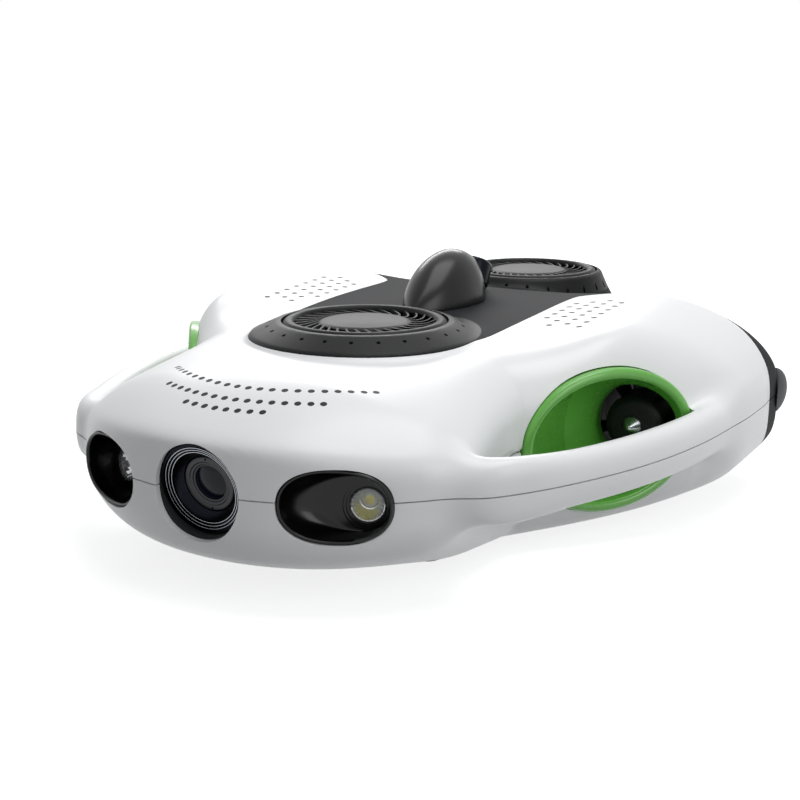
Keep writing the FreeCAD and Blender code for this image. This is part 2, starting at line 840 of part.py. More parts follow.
def foot_places():
    """Where the four feet stand."""
    spots = (float(dim.foot_front), float(dim.foot_back))
    return [(s * float(dim.foot_offset), y) for y in spots for s in (1, -1)]


def foot_top(x, y):
    """Height of a foot's upper end, let into the belly."""
    return belly_level(x, y) + float(dim.foot_sink)


def screw_base(x, y):
    """Height of a shell screw's head."""
    return belly_level(x, y) + 1


def insert_base():
    """Height of the accessory insert's open end."""
    return belly_level(0, float(dim.insert_place)) + 0.5


def belly_holes():
    """Recesses of the feet, and the holes of the screws and the insert."""
    tools = []
    for x, y in foot_places():
        radius = float(dim.foot_radius) + GAP
        reach = foot_top(x, y)
        tools.append(Part.makeCylinder(radius, reach + GAP, Vector(x, y, 0)))
    for x, y in screw_places():
        head_top = screw_base(x, y) + 1.8
        shaft = float(dim.screw_radius)
        head = float(dim.screw_head) + GAP
        tools.append(Part.makeCylinder(shaft, float(dim.screw_length), Vector(x, y, head_top - 0.5)))
        tools.append(Part.makeCylinder(head, head_top, Vector(x, y, 0)))
    top = insert_base() + float(dim.insert_length)
    tools.append(Part.makeCylinder(float(dim.insert_radius), top, Vector(0, float(dim.insert_place), 0)))
    return tools


def make_shells():
    """The two white shells and the two dark mouldings."""
    skin = hull_skin()
    above = skin.common(slab(PART_LINE + GAP / 2, CLEAR))
    below = skin.common(slab(-CLEAR, PART_LINE - GAP / 2))
    upper = biggest(above.cut(dark_prism(GAP, False)))
    lower = biggest(below.cut(dark_prism(GAP, True)))
    lower = lower.fuse(belly_fittings(float(dim.screw_length)))
    lower = biggest(lower.cut(belly_holes()))
    rear = float(dim.rear_lift_place)
    foot_level = float(dim.ring_top) - 1 - float(dim.rear_flare_height)
    deck = biggest(above.common(dark_prism(0, False)))
    front_seat = front_flare()
    rear_seat = ring_seat(rear, float(dim.rear_flare_radius) - 6, foot_level + 12)
    deck = biggest(deck.fuse([front_seat, rear_seat]))
    tail = biggest(below.common(dark_prism(0, True)))
    subpart(feature("UpperShell", upper), "upper_shell")
    subpart(feature("LowerShell", lower), "lower_shell")
    subpart(feature("DeckCover", deck), "deck_cover")
    subpart(feature("RearCover", tail), "rear_cover")


# ---------------------------------------------------------- lift thrusters

LIFTS = {"front": dim.front_lift_place, "rear": dim.rear_lift_place}


def grille(name, along, base, depth, outer, inner, hub, hub_top, vane_lift):
    """A ring and a hub joined by skewed vanes, as one moulding."""
    ring = turned(name + "Ring", [(inner, 0), (outer, 0), (outer, depth - 1.2), (outer - 1.2, depth),
                                  (inner, depth)], (0, along, base))
    cap = turned(name + "Hub", [(0, hub_top - dim.hub_depth), (hub, hub_top - dim.hub_depth),
                                (hub, hub_top - 1), (hub - 1.5, hub_top), (0, hub_top)], (0, along, base))
    pieces = [ring, cap]
    count = int(float(dim.vane_count))
    for i in range(count):
        spin = Rotation(UP, 360.0 * i / count)
        lean = Rotation(UP, float(dim.vane_skew))
        start = spin.multVec(Vector(float(hub) - 4, 0, float(base) + vane_lift))
        span = inner - hub + 7
        pieces.append(box("%sVane%d" % (name, i), (span, dim.vane_thickness, dim.hub_depth),
                          start + Vector(0, float(along), 0), spin.multiply(lean)))
    trim = cylinder(name + "Trim", inner + 1.5, depth, (0, along, base))
    vanes = common(name + "Vanes", fuse(name + "Fan", pieces[2:]), trim)
    return fuse(name, pieces[:2] + [vanes])


def make_lift(where, along):
    """One lift thruster: its grilles, tunnel, motor, shaft and propeller."""
    title = where.capitalize()
    seat = dim.ring_top - dim.ring_depth
    lead = dim.keel_height + (0 if where == "front" else 6)
    rise = float(dim.ring_depth - dim.hub_depth)
    top = grille(title + "Intake", along, seat, dim.ring_depth, dim.ring_radius, dim.tunnel_bore,
                 dim.hub_radius, dim.ring_depth, rise - 1)
    subpart(top, where + "_intake_grille")
    guard = grille(title + "Guard", along, lead, dim.guard_depth, dim.tunnel_bore + dim.tunnel_wall,
                   dim.tunnel_bore, dim.motor_radius, dim.guard_depth, 0.3)
    subpart(guard, where + "_lower_guard")
    base = lead + dim.guard_depth
    outer = dim.tunnel_bore + dim.tunnel_wall
    tunnel = turned(title + "Tunnel", [(dim.tunnel_bore, 0), (outer, 0), (outer, seat - base),
                                       (dim.tunnel_bore, seat - base)], (0, along, base))
    subpart(tunnel, where + "_lift_tunnel")
    hub_base = dim.ring_top - dim.hub_depth
    make_drive_line(where, (0, along, hub_base), Rotation(Vector(1, 0, 0), 180), dim.tunnel_bore)


def make_drive_line(where, at, turn, bore):
    """Motor, shaft and propeller, running along their own +Z from AT."""
    title = where.capitalize()
    sleeve = dim.shaft_radius + dim.shaft_clearance
    length = dim.motor_length
    motor = turned(title + "Motor", [(0, 0), (dim.motor_radius, 0), (dim.motor_radius, length - 2),
                                     (dim.motor_radius - 3, length), (sleeve, length), (sleeve, 3), (0, 3)],
                   at, turn)
    subpart(motor, where + "_motor")
    ahead = turn.multVec(UP)
    shaft_start = moved(at, ahead, 4)
    shaft = cylinder(title + "Shaft", dim.shaft_radius, length - 4 + dim.shaft_length, shaft_start, turn)
    subpart(shaft, where + "_motor_shaft")
    prop_start = moved(at, ahead, length + dim.shaft_length - dim.propeller_depth - 3)
    subpart(propeller(title, prop_start, turn, bore), where + "_propeller")


def moved(at, way, distance):
    """The point AT moved by DISTANCE along one of the frame's own axes."""
    steps = (round(way.x), round(way.y), round(way.z))
    return tuple(a + distance * s if s else a for a, s in zip(at, steps))


def propeller(title, at, turn, bore):
    """A hub with pitched blades, bored for its shaft."""
    name = title + "Propeller"
    depth = dim.propeller_depth
    hub = cylinder(name + "Hub", dim.propeller_hub, depth)
    reach = bore - dim.running_gap
    blades = []
    count = int(float(dim.blade_count))
    for i in range(count):
        spin = Rotation(UP, 360.0 * i / count)
        pitch = Rotation(Vector(1, 0, 0), 30)
        chord = depth * 1.6
        set_turn = spin.multiply(pitch)
        start = set_turn.multVec(Vector(0, -float(chord) / 2, -float(dim.blade_thickness) / 2))
        blades.append(box("%sBlade%d" % (name, i), (reach + 2, chord, dim.blade_thickness),
                          start + Vector(0, 0, float(depth) / 2), set_turn))
    sweep = cylinder(name + "Sweep", reach, depth)
    fan = common(name + "Fan", fuse(name + "Blades", blades), sweep)
    body = cut(name, fuse(name + "Whole", [hub, fan]), cylinder(name + "Bore", dim.shaft_radius, depth))
    return put(body, at, turn)


# --------------------------------------------------------- drive thrusters


def make_drive(side, sign, cones):
    """One drive thruster: liner, ring, cone, motor line, tube and guard."""
    title = side.capitalize()
    across = dim.drive_offset * sign
    aft = Rotation(Vector(1, 0, 0), -90)
    hollow = liner_form(-float(dim.liner_wall), 3.0)
    back = liner_form(-float(dim.liner_wall), -3.0)
    liner = biggest(liner_form(0, 0).cut([hollow, back]))
    if sign < 0:
        liner = mirrored(liner)
    subpart(feature(title + "Liner", liner), side + "_duct_liner")
    subpart(stator(title, across, aft), side + "_drive_ring")
    tip = dim.drive_face - dim.hub_lead
    cone = turned(title + "Cone", [(0, 0), (dim.cone_radius, 0), (dim.cone_radius, 0.6),
                                   (1, dim.cone_length), (0, dim.cone_length)],
                  (across, tip, dim.part_line), Rotation(Vector(1, 0, 0), 90))
    cones.append(cone)
    start = (across, tip + 2, dim.part_line)
    make_drive_line(side, start, aft, dim.drive_bore)
    tube_start = dim.drive_face + dim.stator_depth
    tube_end = dim.pod_end - dim.guard_depth
    outer = dim.drive_bore + dim.drive_wall
    tube = turned(title + "Tube", [(dim.drive_bore, 0), (outer, 0), (outer, tube_end - tube_start),
                                   (dim.drive_bore, tube_end - tube_start)],
                  (across, tube_start, dim.part_line), aft)
    subpart(tube, side + "_outlet_tube")
    subpart(outlet_guard(title, across, tube_end, aft, outer), side + "_outlet_guard")


def stator(title, across, turn):
    """The ring, struts and motor hub of a drive thruster."""
    name = title + "DriveRing"
    at = (across, dim.drive_face, dim.part_line)
    outer = dim.drive_bore + dim.drive_wall
    depth = dim.stator_depth
    ring = turned(name + "Rim", [(dim.drive_bore, 0), (outer, 0), (outer, depth), (dim.drive_bore, depth)],
                  at, turn)
    lead = dim.hub_lead
    cup_bore = dim.motor_radius + 0.3
    hub = turned(name + "Hub", [(0, -lead), (dim.stator_hub - 1.5, -lead), (dim.stator_hub, 1.5 - lead),
                                (dim.stator_hub, depth - 2), (cup_bore, depth - 2),
                                (cup_bore, 2 - lead), (0, 2 - lead)], at, turn)
    count = int(float(dim.strut_count))
    struts = []
    for i in range(count):
        spin = Rotation(Vector(0, 1, 0), 90 + 360.0 * i / count)
        reach = dim.drive_bore - dim.stator_hub + 1.4
        start = spin.multVec(Vector(float(dim.stator_hub) - 0.7, 0, -float(dim.strut_thickness) / 2))
        start += Vector(float(across), float(dim.drive_face) + 2, PART_LINE)
        struts.append(box("%sStrut%d" % (name, i), (reach, depth * 0.6, dim.strut_thickness), start, spin))
    return fuse(name, [ring, hub] + struts)


def outlet_guard(title, across, along, turn, outer):
    """The ring and crossed bars over a drive thruster's outlet."""
    name = title + "OutletGuard"
    depth = dim.guard_depth
    at = (across, along, dim.part_line)
    rim = turned(name + "Rim", [(dim.drive_bore, 0), (outer, 0), (outer, depth), (dim.drive_bore, depth)],
                 at, turn)
    pieces = [rim]
    reach = 2 * dim.drive_bore + 2
    for i in range(3):
        spin = Rotation(Vector(0, 1, 0), 60.0 * i)
        start = spin.multVec(Vector(-float(reach) / 2, 0, -float(dim.guard_bar) / 2))
        start += Vector(float(across), float(along), PART_LINE)
        pieces.append(box("%sBar%d" % (name, i), (reach, depth, dim.guard_bar), start, spin))
    return fuse(name, pieces)


# ------------------------------------------------------- camera and lamps


def make_camera():
    """The camera: bezel, barrel, front lens, body and board."""
    at, turn = camera_frame()
    outer = dim.bezel_radius
    rise, tread = dim.step_rise, dim.step_tread
    back = -dim.bezel_depth
    steps = [(outer, back), (outer, 0)]
    for i in range(3):
        edge = outer - 1.2 - tread * i
        steps += [(edge, -rise * i), (edge, -rise * (i + 1))]
    steps += [(dim.barrel_radius + 0.3, -rise * 3), (dim.barrel_radius + 0.3, back)]
    subpart(turned("CameraBezel", steps, at, turn), "camera_bezel")
    face = -(rise * 3 + 0.6)
    pocket_floor = face - dim.glass_depth
    barrel = turned("CameraBarrel", [(0, face - dim.barrel_length), (dim.barrel_radius, face - dim.barrel_length),
                                     (dim.barrel_radius, face), (dim.glass_radius + 0.1, face),
                                     (dim.glass_radius + 0.1, pocket_floor), (0, pocket_floor)], at, turn)
    subpart(barrel, "camera_barrel")
    lens = turned("CameraLens", [(0, pocket_floor), (dim.glass_radius, pocket_floor),
                                 (dim.glass_radius, face - 0.8), (0.6 * dim.glass_radius, face - 0.2),
                                 (0, face)], at, turn)
    subpart(lens, "camera_lens")
    collar = turned("CameraCollar", [(dim.barrel_radius + 0.3, back - 10), (outer - 2, back - 10),
                                     (outer - 2, back), (dim.barrel_radius + 0.3, back)], at, turn)
    subpart(collar, "camera_collar")
    half = dim.board_size / 2
    square = [(-half, -half), (half, -half), (half, half), (-half, half)]
    behind = float(face - dim.barrel_length - dim.board_thickness)
    board = plate("CameraBoard", square, dim.board_thickness)
    board.Placement = Placement(Vector(*[float(c) for c in at]) + turn.multVec(Vector(0, 0, behind)), turn)
    subpart(board, "camera_board")


def lamp_cup(wall, deep, extra):
    """The hollow or the outside of a lamp cup, standing along its own Z."""
    half_length = float(dim.lamp_half_length) - wall
    half_height = float(dim.lamp_half_height) - wall
    straight = half_length - half_height
    throat = float(dim.reflector_radius) + 2.4 - wall
    shift = Vector(float(dim.beam_shift), -float(dim.beam_drop), 0)
    mouth, floor = [], []
    for i in range(SECTION_POINTS):
        angle = 2 * math.pi * i / SECTION_POINTS
        c, s = math.cos(angle), math.sin(angle)
        bulge = math.copysign(straight, c) if abs(c) > 1e-9 else 0
        wide = Vector(bulge * abs(c) ** 0.5 + half_height * c, half_height * s, extra)
        mouth.append(wide)
        floor.append(shift + Vector(throat * c, throat * s, -deep))
    return Part.makeLoft([closed_curve(mouth), closed_curve(floor)], True, True)


def lamp_shapes():
    """The pieces of the port lamp."""
    frame = lamp_frame(1)
    deep = float(dim.cup_depth)
    wall = float(dim.cup_wall)
    mouth = lamp_cup(0, deep, 0)
    hollow = lamp_cup(wall, deep - 0.01, 0.01)
    shift = Vector(float(dim.beam_shift), -float(dim.beam_drop), -deep)
    throat = float(dim.reflector_radius)
    bore = Part.makeCylinder(throat, wall * 4, shift - Vector(0, 0, wall * 2))
    cup = biggest(mouth.cut([hollow, bore]))
    sleeve_depth = float(dim.reflector_depth) + 3
    sleeve = Part.makeCylinder(throat + wall, sleeve_depth, shift - Vector(0, 0, sleeve_depth))
    sleeve = sleeve.cut(Part.makeCylinder(throat, sleeve_depth, shift - Vector(0, 0, sleeve_depth)))
    cup = cup.fuse(sleeve)
    depth = float(dim.reflector_depth)
    rear = 0.75 * float(dim.emitter_size)
    shell = Part.makeCylinder(throat, depth, shift - Vector(0, 0, depth))
    cone = Part.makeCone(rear, throat - 0.5, depth - 2, shift - Vector(0, 0, depth - 2))
    socket = Part.makeCylinder(rear, 2, shift - Vector(0, 0, depth))
    reflector = shell.cut([cone, socket])
    block = float(dim.emitter_size)
    emitter = Part.makeBox(block, block, 1.2, shift + Vector(-block / 2, -block / 2, -depth))
    stand = Part.makeCylinder(throat, 2.4, shift - Vector(0, 0, depth + 2.4))
    window = Part.makeCylinder(throat, 1.2, shift)
    shapes = {"cup": cup, "reflector": reflector, "emitter": emitter, "stand": stand, "window": window}
    return {name: placed(shape, frame) for name, shape in shapes.items()}


def make_lamps():
    """Both lamps: cups and reflectors apart, small like pieces together."""
    shapes = lamp_shapes()
    for side, sign in SIDES.items():
        for name in ("cup", "reflector"):
            shape = shapes[name] if sign > 0 else mirrored(shapes[name])
            subpart(feature(side.capitalize() + name.capitalize(), shape), "%s_lamp_%s" % (side, name))
    for name, label in (("emitter", "light_emitters"), ("stand", "lamp_heat_sinks"), ("window", "lamp_windows")):
        subpart(feature(label.title().replace("_", ""), both_sides(shapes[name])), label)


# ------------------------------------------------------------ tether dome


def dome_form(spread):
    """The bullet-shaped dome, cut off above the deck."""
    front = float(dim.dome_front) - spread
    rear = float(dim.dome_rear) + spread
    base = float(dim.deck_height)
    rise = float(dim.dome_rise) + spread
    half = float(dim.dome_half) + spread
    wires = []
    count = 9
    for i in range(count):
        t = 0.02 + 0.98 * (i / (count - 1.0)) ** 1.4
        along = front + (rear - front) * t
        swell = (1 - (1 - min(t / 0.52, 1)) ** 2) ** 0.62
        tail = 1 - 0.16 * ease(0.55, 1.0, t)
        wide = half * (1 - (1 - min(t / 0.45, 1)) ** 2) ** 0.55 * tail
        high = rise * swell * (1 - 0.42 * ease(0.5, 1.02, t))
        oval = []
        for j in range(20):
            angle = 2 * math.pi * j / 20
            oval.append(Vector(wide * math.cos(angle), along, base + high * math.sin(angle)))
        wires.append(closed_curve(oval))
    body = Part.makeLoft(wires, True, False)
    return biggest(body.common(slab(base + GAP / 2, base + 2 * rise)))


def socket_frame():
    """Middle of the tether socket's face and the turn along its axis."""
    at = (0, dim.socket_along, dim.socket_height)
    return at, Rotation(Vector(1, 0, 0), -float(dim.socket_lean))


def make_dome():
    """The tether dome, its socket and the socket's contact block."""
    at, turn = socket_frame()
    collar = float(dim.socket_radius)
    solid = dome_form(0)
    face = Part.makeCylinder(3 * collar, 3 * collar, Vector(0, 0, 0))
    hole = Part.makeCylinder(collar + GAP, 60, Vector(0, 0, -float(dim.socket_depth) - 2))
    solid = solid.cut([placed(face, (at, turn)), placed(hole, (at, turn)), dome_hollow(), front_flare()])
    subpart(feature("TetherDome", biggest(solid)), "tether_dome")
    bore = dim.socket_bore
    rim = dim.socket_rise
    low = -dim.socket_depth
    socket = turned("TetherSocket", [(bore, low), (dim.socket_radius, low), (dim.socket_radius, rim - 0.8),
                                     (dim.socket_radius - 0.8, rim), (bore, rim)], at, turn)
    subpart(socket, "tether_socket")
    plug = turned("SocketContacts", [(0, low), (bore, low), (bore, low + 3), (2, low + 3), (2, low + 7),
                                     (0, low + 7)], at, turn)
    subpart(plug, "socket_contacts")


def dome_hollow():
    """The space inside the dome."""
    wall = WALL
    hollow = dome_form(-wall)
    return hollow.common(slab(0, float(dim.socket_height) - float(dim.socket_depth) - 2))


# ------------------------------------------------------------------ inside


def make_electronics():
    """The sealed electronics tube and what it holds."""
    aft = Rotation(Vector(1, 0, 0), -90)
    at = (0, dim.tube_front, dim.part_line)
    bore = dim.tube_radius - dim.tube_wall
    length = dim.tube_rear - dim.tube_front
    tube = turned("ElectronicsTube", [(bore, 0), (dim.tube_radius, 0), (dim.tube_radius, length),
                                      (bore, length)], at, aft)
    subpart(tube, "electronics_tube")
    plug = bore - 0.3
    groove = bore - 2 * dim.seal_section
    mid = dim.cap_plug / 2
    profile = [(0, -dim.cap_thickness), (dim.tube_radius, -dim.cap_thickness), (dim.tube_radius, 0), (plug, 0),
               (plug, mid - dim.seal_section), (groove, mid - dim.seal_section),
               (groove, mid + dim.seal_section), (plug, mid + dim.seal_section), (plug, dim.cap_plug),
               (0, dim.cap_plug)]
    front_cap = turned("FrontTubeCap", profile, at, aft)
    rear_at = (0, dim.tube_rear, dim.part_line)
    rear_cap = turned("RearTubeCap", profile, rear_at, Rotation(Vector(1, 0, 0), 90))
    subpart(front_cap, "front_tube_cap")
    subpart(rear_cap, "rear_tube_cap")
    seals = []
    for name, along in (("FrontSeal", dim.tube_front + mid), ("RearSeal", dim.tube_rear - mid)):
        ring = doc.addObject("Part::Torus", name)
        bind(ring, "Radius1", bore - dim.seal_section)
        bind(ring, "Radius2", dim.seal_section)
        seals.append(put(ring, (0, along, dim.part_line), aft))
    subpart(group("TubeSeals", seals), "tube_seals")
    inner = length - 2 * dim.cap_plug - 1
    board = box("ControlBoard", (2 * (bore - 0.3), inner, dim.board_thickness),
                (-(bore - 0.3), dim.tube_front + dim.cap_plug + 0.5, dim.part_line - dim.board_thickness / 2))
    subpart(board, "control_board")


def cradle(name, across, along, radius, half):
    """An upright support on the lower shell with a round seat."""
    wide = abs(float(across)) + float(half)
    low = belly_level(wide, float(along)) + WALL + 0.2
    block = box(name + "Block", (2 * half, dim.cradle_thickness, dim.part_line - 12 - low),
                (across - half, along, low))
    seat = cylinder(name + "Seat", radius + 0.3, dim.cradle_thickness + 2, (across, along - 1, dim.part_line),
                    Rotation(Vector(1, 0, 0), -90))
    return cut(name, block, seat)


def make_power():
    """The battery tubes, the cradles and the ballast."""
    aft = Rotation(Vector(1, 0, 0), -90)
    supports = []
    for side, sign in SIDES.items():
        across = dim.battery_offset * sign
        title = side.capitalize()
        battery = turned(title + "Battery", [(0, 0), (dim.battery_radius, 0), (dim.battery_radius, dim.battery_length),
                                             (0, dim.battery_length)],
                         (across, dim.battery_front, dim.part_line), aft)
        subpart(battery, side + "_battery")
        for i, share in enumerate((0.14, 0.82)):
            along = dim.battery_front + dim.battery_length * share
            supports.append(cradle("%sCradle%d" % (title, i), across, along, dim.battery_radius,
                                   dim.battery_radius - 3))
    for i, share in enumerate((0.2, 0.72)):
        along = dim.tube_front + (dim.tube_rear - dim.tube_front) * share
        supports.append(cradle("TubeCradle%d" % i, dim.seam_gap * 0, along, dim.tube_radius,
                               dim.tube_radius - 8))
    subpart(group("Cradles", supports), "support_cradles")
    blocks = []
    for side, sign in SIDES.items():
        across = dim.battery_offset * sign - dim.ballast_width / 2
        along = dim.battery_front + 0.3 * dim.battery_length
        wide = float(dim.battery_offset + dim.ballast_width / 2)
        low = belly_level(wide, float(along)) + WALL + 0.2
        size = (dim.ballast_width, dim.ballast_length, dim.ballast_depth)
        blocks.append(box(side.capitalize() + "Ballast", size, (across, along, low)))
    subpart(group("Ballast", blocks), "ballast_blocks")


# --------------------------------------------------------------- underside


def make_underside():
    """Feet, screws and the accessory insert under the belly."""
    feet = []
    for i, (x, y) in enumerate(foot_places()):
        feet.append(cylinder("Foot%d" % i, dim.foot_radius, foot_top(x, y), (x, y, 0)))
    subpart(group("Feet", feet), "rubber_feet")
    screws = []
    for i, (x, y) in enumerate(screw_places()):
        screws.append(turned("Screw%d" % i, [(0, 0), (dim.screw_head, 0), (dim.screw_head, 1.8),
                                             (dim.screw_radius, 1.8), (dim.screw_radius, dim.screw_length),
                                             (0, dim.screw_length)], (x, y, screw_base(x, y))))
    subpart(group("ShellScrews", screws), "shell_screws")
    insert = turned("AccessoryInsert", [(dim.thread_bore, 0), (dim.insert_radius, 0),
                                        (dim.insert_radius, dim.insert_length),
                                        (dim.thread_bore, dim.insert_length)], (0, dim.insert_place, insert_base()))
    subpart(insert, "accessory_insert")


def make_bumpers():
    """The rubber bumpers at the rear corners of the pods."""
    shapes = []
    for sign in SIDES.values():
        front = float(dim.bumper_front)
        length = float(dim.bumper_length)
        across = BEAM_HALF + 1.5 - float(dim.bumper_width) / 2
        ball = Part.makeSphere(1.0)
        matrix = FreeCAD.Matrix()
        matrix.A11 = float(dim.bumper_width) / 2
        matrix.A22 = length / 2
        matrix.A33 = float(dim.bumper_height) / 2
        pad = ball.transformGeometry(matrix)
        pad.translate(Vector(across, front + length / 2, PART_LINE))
        pad = biggest(pad.cut(long_form(-2.5 * GAP)))
        shapes.append(pad if sign > 0 else mirrored(pad))
    subpart(feature("Bumpers", Part.makeCompound(shapes)), "rear_bumpers")


# -------------------------------------------------------------------- main


def check(objects):
    """Stops if an object failed or a sub-part has no sound shape."""
    for obj in doc.Objects:
        if {"Invalid", "Error"} & set(obj.State):
            raise RuntimeError("%s failed: %s" % (obj.Name, obj.State))
    for obj in objects:
        shape = obj.Shape
        if shape.isNull() or not shape.isValid() or not shape.Solids:
            raise RuntimeError("%s has no sound shape" % obj.Label)


def main():
    """Builds every sub-part and writes one STEP file for each."""
    make_shells()
    for where, along in LIFTS.items():
        make_lift(where, along)
    cones = []
    for side, sign in SIDES.items():
        make_drive(side, sign, cones)
    subpart(group("NoseCones", cones), "nose_cones")
    make_lamps()
    make_camera()
    make_dome()
    make_electronics()
    make_power()
    make_underside()
    make_bumpers()
    doc.recompute()
    check(SUBPARTS)
    os.makedirs("parts", exist_ok=True)
    for obj in SUBPARTS:
        obj.Shape.exportStep("parts/%s.step" % obj.Label)
        print("%-28s %2d solids %12.1f mm3" % (obj.Label, len(obj.Shape.Solids), obj.Shape.Volume))


main()
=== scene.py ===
"""Looks of a small underwater inspection vehicle with four thrusters."""

import logging
import math
from dataclasses import dataclass
from enum import Enum
from typing import Any, Iterable, Optional, Sequence

import bmesh
import bpy
import numpy as np
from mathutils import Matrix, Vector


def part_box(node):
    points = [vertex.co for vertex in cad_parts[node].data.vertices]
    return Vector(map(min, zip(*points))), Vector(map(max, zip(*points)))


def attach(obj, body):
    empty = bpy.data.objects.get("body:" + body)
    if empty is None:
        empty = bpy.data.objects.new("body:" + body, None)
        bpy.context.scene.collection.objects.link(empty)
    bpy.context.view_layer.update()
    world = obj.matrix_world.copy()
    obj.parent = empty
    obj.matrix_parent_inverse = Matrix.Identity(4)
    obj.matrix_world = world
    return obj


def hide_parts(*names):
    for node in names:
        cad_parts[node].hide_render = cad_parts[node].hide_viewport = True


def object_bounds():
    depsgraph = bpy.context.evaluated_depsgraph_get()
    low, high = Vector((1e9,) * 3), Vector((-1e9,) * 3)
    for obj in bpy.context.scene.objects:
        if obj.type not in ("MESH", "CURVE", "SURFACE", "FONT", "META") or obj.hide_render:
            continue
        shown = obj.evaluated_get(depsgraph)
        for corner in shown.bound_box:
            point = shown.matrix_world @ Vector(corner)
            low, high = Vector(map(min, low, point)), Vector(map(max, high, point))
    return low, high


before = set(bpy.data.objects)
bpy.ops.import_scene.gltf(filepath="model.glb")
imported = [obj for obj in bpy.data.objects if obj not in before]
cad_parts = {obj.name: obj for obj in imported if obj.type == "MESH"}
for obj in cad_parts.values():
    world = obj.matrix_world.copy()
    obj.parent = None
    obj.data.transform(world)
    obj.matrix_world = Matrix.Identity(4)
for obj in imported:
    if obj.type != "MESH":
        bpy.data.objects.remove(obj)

import openvdb
from mathutils import Matrix, Vector

LOG = logging.getLogger("vehicle")
CAD_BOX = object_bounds()
MM = 0.001
# heights and places along the hull, in millimetres
PART_LINE = 54.0
NOSE_END = -207.0
POD_END = 129.0
DECK_END = 79.0
WALL = 2.6
# a lift ring's radius, by which the rows of holes are laid out, and where its count starts
MODULE = 43.0
MODULE_START = -58.2
UP = Vector((0, 0, 1))
Point = tuple[float, float, float]


# ---------------------------------------------------------------- finishes


def linear(code: str) -> tuple[float, float, float, float]:
    """Turns an sRGB hex value into a linear colour.

    Args:
        code: Six hex digits, with or without a leading hash.

    Returns:
        Red, green, blue and an alpha of one.
    """
    parts = [int(code.lstrip("#")[i:i + 2], 16) / 255 for i in (0, 2, 4)]
    straight = [c / 12.92 if c <= 0.04045 else ((c + 0.055) / 1.055) ** 2.4 for c in parts]
    return (straight[0], straight[1], straight[2], 1.0)


def add_node(tree: bpy.types.NodeTree, kind: str, settings: Optional[dict] = None,
             links: Optional[dict] = None) -> bpy.types.Node:
    """Adds one node, sets it and wires its inputs.

    Args:
        tree: The node tree to add to.
        kind: The node's type name.
        settings: Properties by name, or input values by name or number.
        links: Output sockets by the input's name or number.

    Returns:
        The new node.
    """
    node = tree.nodes.new(kind)
    for key, value in (settings or {}).items():
        if isinstance(key, str) and hasattr(node, key):
            setattr(node, key, value)
        else:
            node.inputs[key].default_value = value
    for key, source in (links or {}).items():
        tree.links.new(source, node.inputs[key])
    return node


class Surface(Enum):
    """How a surface was made, which decides the grain that the eye sees."""

    POLISHED = "polished mould"
    MOULDED = "satin moulded"
    SPARKED = "spark-eroded mould"
    TURNED = "turned on a lathe"
    CAST = "cast"


